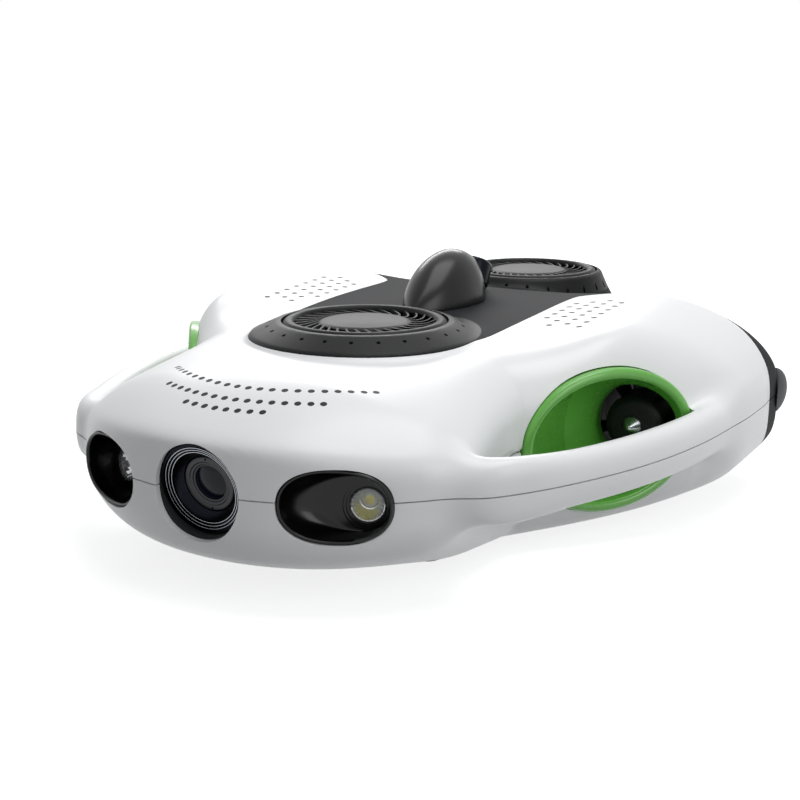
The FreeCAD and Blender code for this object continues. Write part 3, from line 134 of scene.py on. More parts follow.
@dataclass(frozen=True)
class Finish:
    """One real material with the way its surface was made."""

    name: str
    colour: str
    shade: str
    roughness: float
    surface: Surface
    grain_mm: float = 0.8
    depth_mm: float = 0.01
    uneven: float = 0.04
    drift_mm: float = 45.0
    metallic: float = 0.0
    ior: float = 1.5
    specular: float = 0.5
    coat: float = 0.0
    coat_roughness: float = 0.04
    glow: float = 0.0
    alpha: float = 1.0

    def build(self) -> bpy.types.Material:
        """Makes the material's nodes.

        Returns:
            The finished material.
        """
        material = bpy.data.materials.new(self.name)
        material.use_nodes = True
        tree = material.node_tree
        shader = tree.nodes["Principled BSDF"]
        place = add_node(tree, "ShaderNodeTexCoord").outputs["Object"]
        drift = add_node(tree, "ShaderNodeTexNoise", {"Scale": 1000 / self.drift_mm, "Detail": 3.0},
                         {"Vector": place})
        tone = add_node(tree, "ShaderNodeMix", {"data_type": "RGBA", 6: linear(self.colour),
                                                7: linear(self.shade)}, {0: drift.outputs["Fac"]})
        tree.links.new(tone.outputs[2], shader.inputs["Base Color"])
        grain = self.grain(tree, place)
        low, high = self.roughness - self.uneven, self.roughness + self.uneven
        gloss = add_node(tree, "ShaderNodeMapRange", {"To Min": max(low, 0.02), "To Max": high},
                         {"Value": grain})
        tree.links.new(gloss.outputs[0], shader.inputs["Roughness"])
        bump = add_node(tree, "ShaderNodeBump", {"Strength": 1.0, "Distance": self.depth_mm * MM},
                        {"Height": grain})
        tree.links.new(bump.outputs[0], shader.inputs["Normal"])
        shader.inputs["Metallic"].default_value = self.metallic
        shader.inputs["IOR"].default_value = self.ior
        shader.inputs["Specular IOR Level"].default_value = self.specular
        shader.inputs["Coat Weight"].default_value = self.coat
        shader.inputs["Coat Roughness"].default_value = self.coat_roughness
        shader.inputs["Alpha"].default_value = self.alpha
        if self.glow:
            shader.inputs["Emission Color"].default_value = linear(self.colour)
            shader.inputs["Emission Strength"].default_value = self.glow
        return material

    def grain(self, tree: bpy.types.NodeTree, place: bpy.types.NodeSocket) -> bpy.types.NodeSocket:
        """Adds the pattern that the making left on the surface.

        Args:
            tree: The material's node tree.
            place: Object coordinates in metres.

        Returns:
            The pattern's value socket.
        """
        scale = 1000 / self.grain_mm
        if self.surface is Surface.TURNED:
            rings = add_node(tree, "ShaderNodeTexWave",
                             {"wave_type": "RINGS", "rings_direction": "Z", "Scale": scale / 6.3,
                              "Distortion": 0.6, "Detail": 1.0}, {"Vector": place})
            return rings.outputs["Fac"]
        if self.surface is Surface.SPARKED:
            pits = add_node(tree, "ShaderNodeTexVoronoi", {"feature": "SMOOTH_F1", "Scale": scale,
                                                           "Smoothness": 0.6}, {"Vector": place})
            fine = add_node(tree, "ShaderNodeTexNoise", {"Scale": scale * 1.7, "Detail": 2.0},
                            {"Vector": place})
            both = add_node(tree, "ShaderNodeMath", {"operation": "ADD"},
                            {0: pits.outputs["Distance"], 1: fine.outputs["Fac"]})
            return both.outputs[0]
        detail = 5.0 if self.surface is Surface.CAST else 2.0
        noise = add_node(tree, "ShaderNodeTexNoise", {"Scale": scale, "Detail": detail},
                         {"Vector": place})
        return noise.outputs["Fac"]


class Stock(Enum):
    """Every finish on the vehicle."""

    # ABS from a satin mould: even white with a soft sheen and a trace of orange peel
    WHITE_SHELL = Finish("white_abs", "F3F4F5", "EFF0F2", 0.34, Surface.MOULDED, 1.6, 0.006)
    # ABS from a spark-eroded mould: charcoal and matt, its grit drawn at 0.7 mm so that it shows
    DECK = Finish("charcoal_textured_abs", "1B1C1F", "161719", 0.66, Surface.SPARKED, 0.7, 0.014,
                  specular=0.15)
    # glass-filled nylon with a satin skin: near black with broad soft lights
    TRIM = Finish("black_satin_nylon", "0A0B0C", "0D0E0F", 0.42, Surface.MOULDED, 0.9, 0.008,
                  specular=0.15)
    # polycarbonate from a polished mould: deep black with soft-edged lights
    LAMP_BLACK = Finish("black_gloss_polycarbonate", "050506", "070708", 0.2, Surface.POLISHED, 4.0,
                        0.002, 0.02, specular=0.3)
    # polycarbonate dome with a fine satin: black with one broad streak of light
    DOME = Finish("black_satin_polycarbonate", "060607", "08090A", 0.26, Surface.MOULDED, 1.2,
                  0.002,
                  0.02, specular=0.3)
    # coloured ABS from a polished mould: clear leaf green with a wet gloss
    GREEN = Finish("green_abs", "6CBB4C", "62B143", 0.26, Surface.POLISHED, 2.5, 0.004, coat=0.2)
    # nylon duct with a plain moulded skin
    DUCT = Finish("black_moulded_nylon", "08090A", "0D0E0F", 0.5, Surface.MOULDED, 0.8, 0.01,
                  specular=0.2)
    # clear-grey polycarbonate blades: pale, slightly glossy
    BLADE = Finish("grey_polycarbonate", "9AA3A3", "858E8F", 0.28, Surface.POLISHED, 2.0, 0.004,
                   ior=1.58)
    # vacuum-metallised bowl: bright mirror
    REFLECTOR = Finish("aluminised_reflector", "E4E6E8", "D8DADD", 0.06, Surface.POLISHED, 3.0,
                       0.002,
                       0.02, metallic=1.0)
    # phosphor under a clear drop: warm pale yellow that glows faintly
    EMITTER = Finish("yellow_phosphor", "E4DC8A", "DDD47C", 0.6, Surface.CAST, 0.6, 0.01, glow=0.1)
    # alumina ceramic: dull white
    CERAMIC = Finish("white_ceramic", "E4E4DE", "DADAD4", 0.5, Surface.CAST, 0.6, 0.008)
    # black-anodised aluminium, turned: dark metal with fine rings
    BEZEL = Finish("black_anodised_aluminium", "1B1C22", "15161B", 0.3, Surface.TURNED, 0.5, 0.006,
                   0.05, metallic=1.0)
    # painted highlight: a bright copy of the black anodised bezel's metal, standing in for the
    # light that the ridges catch
    RIDGE = Finish("ridge_painted_highlight", "B4B8BD", "A2A7AC", 0.2, Surface.TURNED, 0.5, 0.006,
                   0.05, metallic=1.0)
    # enamelled aluminium inside the lens barrel: matt black with a blue cast
    BARREL = Finish("black_enamelled_barrel", "0B0C12", "10111A", 0.36, Surface.TURNED, 0.4, 0.006)
    # crown glass with a blue-violet coating over a black barrel
    LENS = Finish("coated_crown_glass", "070B1C", "0A1028", 0.05, Surface.POLISHED, 5.0, 0.001,
                  0.01,
                  ior=1.52, specular=0.2)
    # stainless steel bar: bright, fine rings from turning
    STEEL = Finish("stainless_steel", "B4B7BA", "A2A5A9", 0.3, Surface.TURNED, 0.4, 0.006, 0.06,
                   metallic=1.0)
    # die-cast and bead-blasted aluminium
    ALUMINIUM = Finish("blasted_aluminium", "A4A8AC", "95999D", 0.42, Surface.CAST, 0.7, 0.012,
                       0.06,
                       metallic=1.0)
    # zinc-nickel motor can
    MOTOR = Finish("plated_motor_can", "7D7B74", "6C6A64", 0.33, Surface.MOULDED, 0.6, 0.006, 0.06,
                   metallic=1.0)
    # thin polycarbonate cover that lets nearly everything through
    WINDOW = Finish("clear_polycarbonate", "F4F6F8", "F0F2F5", 0.04, Surface.POLISHED, 5.0, 0.001,
                    0.02,
                    ior=1.58, alpha=0.08)
    # silicone and thermoplastic rubber: dull, slightly grey, with a fine bloom
    RUBBER = Finish("black_rubber", "17181A", "202124", 0.62, Surface.CAST, 0.9, 0.015, 0.06,
                    ior=1.52)
    # glass-epoxy board under green resist
    BOARD = Finish("green_circuit_board", "1F5A34", "184A2A", 0.4, Surface.CAST, 1.2, 0.02)
    # PVC heat-shrink sleeve
    BATTERY = Finish("blue_shrink_sleeve", "23518C", "1C4478", 0.35, Surface.MOULDED, 3.0, 0.02)
    # hot-dip galvanised steel
    BALLAST = Finish("galvanised_steel", "9DA1A4", "868A8E", 0.46, Surface.CAST, 6.0, 0.01, 0.08,
                     metallic=1.0)
    # free-cutting brass, turned
    BRASS = Finish("turned_brass", "C29A4C", "B08A3F", 0.3, Surface.TURNED, 0.5, 0.006, 0.05,
                   metallic=1.0)
    # gold-plated contact pins
    GOLD = Finish("gold_plated_contacts", "D8B052", "C9A146", 0.24, Surface.MOULDED, 1.0, 0.004,
                  metallic=1.0)

    def material(self) -> bpy.types.Material:
        """Returns the finish's material, made on first use."""
        return bpy.data.materials.get(self.value.name) or self.value.build()


# ------------------------------------------------------------ mesh making


@dataclass
class Form:
    """A closed mesh in the making, in millimetres."""

    points: list[Point]
    faces: list[list[int]]

    def moved(self, matrix: Matrix) -> "Form":
        """Returns the form under a matrix in millimetres."""
        return Form([tuple(matrix @ Vector(p)) for p in self.points], self.faces)

    def mirrored(self) -> "Form":
        """Returns the form on the other side of the middle plane."""
        return Form([(-x, y, z) for x, y, z in self.points], [f[::-1] for f in self.faces])

    def mesh(self, name: str) -> bpy.types.Mesh:
        """Writes the form as a Blender mesh in metres.

        Args:
            name: The mesh's name.

        Returns:
            The mesh, with its faces turned outwards.
        """
        made = bpy.data.meshes.new(name)
        made.from_pydata([(x * MM, y * MM, z * MM) for x, y, z in self.points], [], self.faces)
        work = bmesh.new()
        work.from_mesh(made)
        bmesh.ops.remove_doubles(work, verts=work.verts, dist=1e-7)
        bmesh.ops.recalc_face_normals(work, faces=work.faces)
        work.to_mesh(made)
        work.free()
        return made


def angles(count: int) -> list[float]:
    """Returns equal steps round a circle, in radians."""
    return [2 * math.pi * i / count for i in range(count)]


def joined(forms: Iterable[Form]) -> Form:
    """Puts several forms into one.

    Args:
        forms: The forms to join.

    Returns:
        One form that holds them all.
    """
    points, faces = [], []
    for form in forms:
        base = len(points)
        points += form.points
        faces += [[base + i for i in face] for face in form.faces]
    return Form(points, faces)


def loft(rings: Sequence[Sequence[Point]], capped: bool = True) -> Form:
    """Skins closed rings of equal counts, one after the other.

    Args:
        rings: The rings of points.
        capped: Whether the two ends are closed; otherwise the last joins the first.

    Returns:
        The skinned form.
    """
    count = len(rings[0])
    points = [tuple(p) for ring in rings for p in ring]
    faces = []
    spans = len(rings) - 1 if capped else len(rings)
    for i in range(spans):
        a, b = i * count, ((i + 1) % len(rings)) * count
        faces += [[a + j, a + (j + 1) % count, b + (j + 1) % count, b + j] for j in range(count)]
    if capped:
        last = (len(rings) - 1) * count
        faces += [list(range(count))[::-1], [last + j for j in range(count)]]
    return Form(points, faces)


def rounded(profile: Sequence[tuple[float, float]], radius: float, closed: bool,
            steps: int = 4) -> list[tuple[float, float]]:
    """Rounds the corners of a profile.

    Args:
        profile: Corners as pairs of radius and height.
        radius: How far a rounding reaches along each side.
        closed: Whether the last corner joins the first.
        steps: Pieces in a rounding.

    Returns:
        The rounded profile.
    """
    made = []
    count = len(profile)
    for i, corner in enumerate(profile):
        if not closed and i in (0, count - 1):
            made.append(corner)
            continue
        here = Vector(corner)
        before, after = Vector(profile[i - 1]) - here, Vector(profile[(i + 1) % count]) - here
        reach = min(radius, 0.45 * before.length, 0.45 * after.length)
        first, last = here + before.normalized() * reach, here + after.normalized() * reach
        for k in range(steps + 1):
            t = k / steps
            at = first * (1 - t) ** 2 + here * 2 * t * (1 - t) + last * t * t
            made.append((at.x, at.y))
    return made


def lathe(profile: Sequence[tuple[float, float]], steps: int = 96, closed: bool = False) -> Form:
    """Turns a profile about Z.

    Args:
        profile: Pairs of radius and height; an open one starts and ends on the axis.
        steps: Facets round the axis.
        closed: Whether the profile is a ring of its own.

    Returns:
        The turned form.
    """
    points, rows = [], []
    for r, z in profile:
        if r < 1e-6:
            rows.append([len(points)] * steps)
            points.append((0.0, 0.0, z))
            continue
        rows.append([len(points) + i for i in range(steps)])
        points += [(r * math.cos(a), r * math.sin(a), z) for a in angles(steps)]
    pairs = list(zip(rows, rows[1:])) + ([(rows[-1], rows[0])] if closed else [])
    faces = []
    for low, high in pairs:
        for i in range(steps):
            j = (i + 1) % steps
            face = list(dict.fromkeys([low[i], low[j], high[j], high[i]]))
            if len(face) > 2:
                faces.append(face)
    return Form(points, faces)


def pole(x: float, y: float, low: float, high: float, radius: float, steps: int = 20) -> Form:
    """Returns an upright round bar, used to drill holes."""
    ring = [(x + radius * math.cos(a), y + radius * math.sin(a)) for a in angles(steps)]
    return loft([[(a, b, z) for a, b in ring] for z in (low, high)])


def wing(sections: Sequence[tuple[float, float, float, float, float]], points: int = 14) -> Form:
    """Lofts a twisted blade with a rounded nose and a thin tail, reaching out along X.

    Args:
        sections: Radius, chord, thickness, twist in degrees and forward shift of each section.
        points: Points round a section.

    Returns:
        The blade, whose axis of turning is Z.
    """
    rings = []
    for radius, chord, thick, twist, shift in sections:
        ring = []
        for angle in angles(points):
            along = 0.5 * chord * math.cos(angle) + shift
            body = 0.5 * thick * math.sin(angle) * (0.62 + 0.38 * math.cos(angle))
            c, s = math.cos(math.radians(twist)), math.sin(math.radians(twist))
            ring.append((radius, along * c - body * s, along * s + body * c))
        rings.append(ring)
    return loft(rings)


class Join(Enum):
    """How a tool acts on a mesh."""

    CUT = "DIFFERENCE"
    KEEP = "INTERSECT"
    FUSE = "UNION"


def carved(mesh: bpy.types.Mesh, tool: bpy.types.Mesh, way: Join = Join.CUT) -> bpy.types.Mesh:
    """Acts on one closed mesh with another.

    Args:
        mesh: The mesh to work on.
        tool: The mesh to work with.
        way: What the tool does.

    Returns:
        A new mesh.
    """
    host = bpy.data.objects.new("work", mesh)
    other = bpy.data.objects.new("tool", tool)
    for item in (host, other):
        bpy.context.scene.collection.objects.link(item)
    step = host.modifiers.new("step", "BOOLEAN")
    step.operation = way.value
    step.solver = "MANIFOLD"
    step.object = other
    bpy.context.view_layer.update()
    graph = bpy.context.evaluated_depsgraph_get()
    result = bpy.data.meshes.new_from_object(host.evaluated_get(graph))
    bpy.data.objects.remove(host)
    bpy.data.objects.remove(other)
    return result


def fit(name: str, mesh: bpy.types.Mesh, stock: Stock, body: str,
        stands_for: Sequence[str] = (), place: Optional[Matrix] = None,
        sharp: float = 32.0) -> bpy.types.Object:
    """Puts one dressed piece on the vehicle.

    Args:
        name: The piece's name.
        mesh: Its mesh in metres.
        stock: Its finish.
        body: The body that it moves with.
        stands_for: CAD nodes that it replaces.
        place: Its own frame in metres, for a turned piece.
        sharp: Angle in degrees above which an edge stays crisp.

    Returns:
        The new object.
    """
    mesh.name = name
    mesh.shade_smooth()
    mesh.set_sharp_from_angle(angle=math.radians(sharp))
    mesh.materials.clear()
    mesh.materials.append(stock.material())
    made = bpy.data.objects.new(name, mesh)
    bpy.context.scene.collection.objects.link(made)
    if place is not None:
        made.matrix_world = place
    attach(made, body)
    if stands_for:
        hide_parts(*stands_for)
    LOG.info("%s: %d faces, %s on %s", name, len(mesh.polygons), stock.value.name, body)
    return made


def frame_at(x: float, y: float, z: float, turn: Matrix) -> Matrix:
    """Returns a frame in metres from a place in millimetres and a turn."""
    return Matrix.Translation((x * MM, y * MM, z * MM)) @ turn.to_4x4()


def scaled_frame(place: Matrix) -> Matrix:
    """Returns the same frame with its place in millimetres."""
    made = place.copy()
    made.translation = place.translation / MM
    return made


def turn_about(axis: str, degrees: float) -> Matrix:
    """Returns a turn about one axis."""
    return Matrix.Rotation(math.radians(degrees), 4, axis)


# ------------------------------------------------------------- hull field


def ease(start: float, end: float, value: Any) -> Any:
    """Returns a smooth run from 0 at start to 1 at end."""
    t = np.clip((value - start) / (end - start), 0, 1)
    return t * t * (3 - 2 * t)


def soft_union(first: Any, second: Any, reach: float) -> Any:
    """Returns two fields joined with a fillet of the given reach."""
    h = np.clip(reach - np.abs(first - second), 0, None) / reach
    return np.minimum(first, second) - h * h * reach / 4


def soft_overlap(first: Any, second: Any, reach: float) -> Any:
    """Returns what two fields share, with a rounded edge of the given reach."""
    return -soft_union(-first, -second, reach)


def smooth_path(points: Sequence[tuple[float, float]], steps: int = 8) -> list[tuple[float, float]]:
    """Runs a curve through points in plan.

    Args:
        points: The points to pass through.
        steps: Pieces between two points.

    Returns:
        Points along the curve.
    """
    ends = [np.array(p, float) for p in points]
    ends = [2 * ends[0] - ends[1]] + ends + [2 * ends[-1] - ends[-2]]
    made = []
    for a, b, c, d in zip(ends, ends[1:], ends[2:], ends[3:]):
        for k in range(steps):
            t = k / steps
            at = 0.5 * (2 * b + (c - a) * t + (2 * a - 5 * b + 4 * c - d) * t * t
                        + (3 * b - a - 3 * c + d) * t ** 3)
            made.append((float(at[0]), float(at[1])))
    return made + [(float(ends[-2][0]), float(ends[-2][1]))]


def plan_distance(x: Any, y: Any, path: Sequence[tuple[float, float]], closed: bool) -> Any:
    """Measures the distance in plan from a path.

    Args:
        x: Places across the hull.
        y: Places along the hull.
        path: Corners of the path.
        closed: Whether the path bounds a region, inside which distances are negative.

    Returns:
        The distances.
    """
    best = np.full(np.broadcast(x, y).shape, 1e9)
    inside = np.zeros(best.shape, bool)
    ends = list(path[1:]) + ([path[0]] if closed else [])
    for (ax, ay), (bx, by) in zip(path, ends):
        dx, dy = bx - ax, by - ay
        t = np.clip(((x - ax) * dx + (y - ay) * dy) / (dx * dx + dy * dy + 1e-12), 0, 1)
        best = np.minimum(best, np.hypot(x - ax - t * dx, y - ay - t * dy))
        if closed and abs(dy) > 1e-9:
            inside ^= ((ay > y) != (by > y)) & (x < dx * (y - ay) / dy + ax)
    return np.where(inside, -best, best)


@dataclass
class HullField:
    """The hull's outer form as a field of distances, in millimetres.

    Each power is a pair: its value at the nose and its gain towards the deck's end. An edge or a
    fillet is the reach of the rounding between two forms.
    """

    half_beam: float = 175.5
    nose_half: float = 63.0
    shoulder: float = 97.0
    brow: float = 88.0
    crown: float = 114.0
    dip: float = 11.0
    swell: float = 12.0
    keel: float = 4.0
    chin: float = 15.5
    face_radius: float = 131.0
    chin_round: float = 27.0
    drum_radius: float = 56.0
    drum_place: float = 151.0
    ring_top: float = 108.0
    flare_radius: float = 60.0
    flare_place: float = -58.0
    mouth_place: float = -36.0
    mouth_half: float = 50.0
    mouth_turn: float = 54.6
    drive_offset: float = 127.0
    grip_half: tuple[float, float] = (9.0, 13.0)
    grip_stout: float = 0.3
    flank_power: tuple[float, float] = (2.4, 0.9)
    top_power: tuple[float, float] = (1.5, 0.7)
    under_power: tuple[float, float] = (1.9, 1.1)
    belly_fill: tuple[float, float, float] = (8.0, 0.6, 0.5)
    pod_taper: float = 0.12
    pod_taper_length: float = 26.0
    pod_fall: float = 16.0
    pod_lift: float = 9.0
    brow_edge: float = 6.0
    nose_edge: float = 5.0
    pod_edge: float = 12.0
    pocket_edge: float = 26.0
    bar_fillet: float = 9.0
    drum_fillet: float = 9.0
    flare_fillet: float = 2.5

    def half_width(self, y: Any) -> Any:
        """Returns half the width of the form along the hull."""
        t = np.maximum(DECK_END + 7 - y, 0) / (DECK_END + 7 - NOSE_END)
        narrow = 1 - self.nose_half / self.half_beam
        taper = self.pod_taper * ease(POD_END - self.pod_taper_length, POD_END, y)
        return self.half_beam * (1 - narrow * t ** 3 - taper)

    def long_form(self, x: Any, y: Any, z: Any) -> Any:
        """Returns the plain long body, before its nose and pockets."""
        start = NOSE_END + 0.43 * self.face_radius
        blend = ease(start, DECK_END, y)
        flank, top, under = (low + gain * blend for low, gain in
                             (self.flank_power, self.top_power, self.under_power))
        run = np.maximum(start - y, 0) / (start - NOSE_END - 22)
        fall = (self.shoulder - self.brow) * run ** 1.5
        crown = self.shoulder + (self.crown - self.shoulder) * blend - fall
        crown = crown - self.pod_fall * ease(POD_END - 40, POD_END + 6, y)
        front = NOSE_END / 2
        run = np.maximum(front - y, 0) / (front - NOSE_END - 22)
        keel = self.keel + (self.chin - self.keel) * run ** 2
        keel = keel + self.pod_lift * ease(POD_END - 40, POD_END + 6, y)
        share = np.clip(np.abs(x) / self.half_width(y), 0, 3)
        high = np.maximum(crown - PART_LINE, 5)
        rise = np.sqrt(np.clip(1 - share ** flank, 1e-4, 1))
        away = (y - self.mouth_place - 10) / self.mouth_half
        aside = (np.abs(x) - self.drive_offset) / 22
        swell = self.swell * np.exp(-away ** 2) * np.exp(-aside ** 2)
        dip = self.dip * blend ** 1.5 * np.exp(-(np.abs(x) / 94.5) ** 4)
        ratio = np.clip(1 + (swell - dip) * rise / (high * rise ** (2 / top)), 0.5, 2)
        above = share ** flank + (np.maximum(z - PART_LINE, 0) / (high * ratio)) ** top - 1
        middle_fill, rear_fill, round_fill = self.belly_fill
        full = flank + middle_fill * blend * (1 - blend) + rear_fill * blend
        depth = np.maximum(PART_LINE - z, 0) / (PART_LINE - keel)
        below = share ** full + depth ** (under + round_fill * blend) - 1
        return np.where(z >= PART_LINE, above, below)

    def nose(self, x: Any, y: Any, z: Any) -> Any:
        """Returns the round front face with its brow and chin."""
        middle = NOSE_END + self.face_radius
        reach = np.hypot(x, np.minimum(y - middle, 0)) - 1.5 * np.maximum(y - middle, 0)
        low = np.clip((self.chin + self.chin_round - z) / self.chin_round, 0, 1)
        wall = reach - (self.face_radius - self.chin_round * (1 - np.sqrt(1 - low * low)))
        lid = (reach - self.face_radius + 14) * 0.397 + (z - self.brow) * 0.918
        return soft_overlap(wall, lid, self.brow_edge)

    def mouth_frame(self) -> tuple[Vector, Vector, Vector]:
        """Returns the port mouth's centre, the way along it and the way out."""
        angle = math.radians(self.mouth_turn)
        return (Vector((self.drive_offset, self.mouth_place, PART_LINE)),
                Vector((math.cos(angle), math.sin(angle), 0)),
                Vector((math.sin(angle), -math.cos(angle), 0)))

    def pocket(self) -> list[tuple[float, float]]:
        """Returns the plan of the port pocket between nose and side bar."""
        centre, along, _ = self.mouth_frame()
        front, rear = centre - along * self.mouth_half, centre + along * self.mouth_half
        line = smooth_path([(front.x + 38, NOSE_END + 30), (front.x + 14, NOSE_END + 54),
                            (front.x + 3, NOSE_END + 78), (front.x - 1, NOSE_END + 106),
                            (front.x, front.y)])
        tail = smooth_path([(rear.x, rear.y), (rear.x + 13, rear.y + 12),
                            (rear.x + 60, rear.y + 30)])
        return line + tail + [(rear.x + 60, NOSE_END + 30)]

    def bar_path(self) -> list[tuple[float, float]]:
        """Returns the middle line of the port side bar in plan."""
        start, half = NOSE_END + 55, self.grip_half[0]
        line = [(float(self.half_width(start)) - 5 * half, start - 0.6 * half),
                (float(self.half_width(start)) - 2.6 * half, start + 0.3 * half)]
        for i in range(8):
            y = start + 1.6 * half + (58 - start) * i / 7
            line.append((float(self.half_width(y)) - half, y))
        return smooth_path(line)

    def drum(self, x: Any, y: Any, z: Any) -> Any:
        """Returns the drum round the rear lift thruster."""
        reach = np.hypot(x, y - self.drum_place)
        foot, top = self.drum_radius, self.ring_top - 1
        edge = np.interp(z.ravel(), [10, 18, 86, 96, top, top + 40],
                         [foot - 8, foot, foot, foot - 5.6, foot - 10.5,
                          foot - 28]).reshape(z.shape)
        body = soft_overlap(reach - edge, z - top, 1.5)
        return soft_overlap(body, 10 - z, 10)

    def flare(self, x: Any, y: Any, z: Any) -> Any:
        """Returns the front ring's collar."""
        reach = np.hypot(x, y - self.flare_place)
        edge = np.interp(z.ravel(), [90, 100.6, 107.2, 140], [62, 60, 45.5, 0]).reshape(z.shape)
        return np.maximum(np.maximum((reach - edge) * 0.42, z - 107.2), 92 - z)

    def sample(self, step: float) -> tuple[Any, np.ndarray]:
        """Samples the field on a grid.

        Args:
            step: The grid's spacing.

        Returns:
            The values and the grid's lowest corner.
        """
        half = int(math.ceil(184 / step))
        xs = np.arange(0, half + 1) * step
        ys = np.arange(NOSE_END - 6, 214, step)
        zs = np.arange(-4, 116, step)
        x, y, z = xs[:, None, None], ys[None, :, None], zs[None, None, :]
        body = self.long_form(x, y, z)
        slope = np.sqrt(sum(g * g for g in np.gradient(body, step)))
        body = body / np.maximum(slope, 0.006)
        body = soft_overlap(body, y - POD_END + 0 * x + 0 * z, self.pod_edge)
        body = soft_overlap(body, self.nose(x, y, z), self.nose_edge)
        pocket = plan_distance(xs[:, None], ys[None, :], self.pocket(), True)[:, :, None]
        body = soft_overlap(body, -pocket + 0 * z, self.pocket_edge)
        reach = plan_distance(xs[:, None], ys[None, :], self.bar_path(), False)[:, :, None]
        stout = 1 + self.grip_stout * (1 - ease(NOSE_END + 52, NOSE_END + 110, y))
        wide, tall = self.grip_half[0] * stout, self.grip_half[1] * (1 + 0.7 * (stout - 1))
        grip = np.sqrt((reach / wide) ** 2 + ((z - PART_LINE) / tall) ** 2)
        bar = (grip - 1) * np.minimum(wide, tall) * 1.15
        body = soft_union(body, bar, self.bar_fillet)
        body = soft_overlap(body, x - self.half_width(y) - 0.5 + 0 * z, 5)
        body = soft_union(body, self.drum(x, y, z), self.drum_fillet)
        body = soft_union(body, self.flare(x, y, z), self.flare_fillet)
        whole = np.concatenate([body[:0:-1], body], axis=0).astype(np.float32)
        return whole, np.array([-half * step, ys[0], zs[0]])

    def skin(self, step: float, inset: float) -> bpy.types.Mesh:
        """Meshes the form.

        Args:
            step: The grid's spacing.
            inset: How far inside the form the skin lies.

        Returns:
            A closed mesh in metres.
        """
        values, corner = self.sample(step)
        grid = openvdb.FloatGrid(3 * step)
        grid.copyFromArray(np.ascontiguousarray(values + inset))
        grid.transform = openvdb.createLinearTransform(voxelSize=step)
        points, quads = grid.convertToQuads(isovalue=0.0)
        points = (points + corner) * MM
        made = bpy.data.meshes.new("hull")
        made.from_pydata(points.tolist(), [], quads.tolist())
        work = bmesh.new()
        work.from_mesh(made)
        bmesh.ops.recalc_face_normals(work, faces=work.faces)
        if work.calc_volume(signed=True) < 0:
            bmesh.ops.reverse_faces(work, faces=work.faces)
        work.to_mesh(made)
        work.free()
        return made


# ------------------------------------------------------------ assemblies


@dataclass
class Side:
    """Port or starboard, and its sign across the hull."""

    name: str
    sign: int

    def turned(self, form: Form) -> Form:
        """Returns a port form on this side."""
        return form if self.sign > 0 else form.mirrored()


PORT = Side("port", 1)
STARBOARD = Side("starboard", -1)


@dataclass
class Mouths:
    """The oval duct mouths and the funnels behind them."""

    field: HullField
    half_length: float = 50.0
    half_height: float = 36.5
    face: float = 6.0
    bore: float = 24.0
    wall: float = 2.4
    count: int = 96

    def ring(self, spread: float, step: float) -> list[Point]:
        """Returns the port mouth's oval, grown by spread and moved outwards by step."""
        centre, along, out = self.field.mouth_frame()
        made = []
        for angle in angles(self.count):
            at = centre + out * step + along * ((self.half_length + spread) * math.cos(angle))
            made.append(tuple(at + UP * ((self.half_height + spread) * math.sin(angle))))
        return made

    def round(self, radius: float, y: float) -> list[Point]:
        """Returns a circle about the port drive thruster's axis."""
        return [(self.field.drive_offset + radius * math.cos(a), y,
                 PART_LINE + radius * math.sin(a)) for a in angles(self.count)]

    def cutter(self) -> Form:
        """Returns the port opening that the hull is pierced by."""
        return loft([self.ring(0.35, 5), self.ring(0.35, -4), self.round(27.2, self.face),
                     self.round(27.0, POD_END + 20)])

    def funnel(self, spread: float, lip: float) -> list[list[Point]]:
        """Returns rings that run smoothly from a mouth to its drive ring.

        Args:
            spread: How far the funnel lies outside its inner wall.
            lip: How far the first ring stands out of the mouth.

        Returns:
            The rings, from the mouth inwards.
        """
        _, _, out = self.field.mouth_frame()
        starts, ends = self.ring(spread, lip), self.round(self.bore + spread + self.wall, self.face)
        rings = []
        for k in range(15):
            t = k / 14
            ring = []
            for first, last in zip(starts, ends):
                a, d = Vector(first), Vector(last)
                reach = 0.42 * (d - a).length
                b, c = a - out * reach, d - Vector((0, reach, 0))
                at = (a * (1 - t) ** 3 + b * 3 * t * (1 - t) ** 2
                      + c * 3 * t * t * (1 - t) + d * t ** 3)
                ring.append(tuple(at))
            rings.append(ring)
        return rings

    def build(self, side: Side) -> None:
        """Makes one green liner with its rolled lip."""
        outer = [self.ring(-0.1, 0.4), self.ring(-0.1, -3.0),
                 self.round(self.bore + self.wall, self.face)]
        lip = [self.ring(-5.4 + 2.7 * math.cos(a) + 2.6, 0.4 + 1.9 * math.sin(a))
               for a in (0.0, 0.4, 0.8, 1.2, 1.6, 2.0, 2.4, 2.8, 3.14)]
        inner = self.funnel(-self.wall - 3.2, 0.2)
        rings = outer[::-1] + lip[1:] + inner
        body = side.turned(loft(rings, capped=False))
        fit(side.name + "_green_liner", body.mesh("liner"), Stock.GREEN, "hull",
            [side.name + "_duct_liner"], sharp=50)


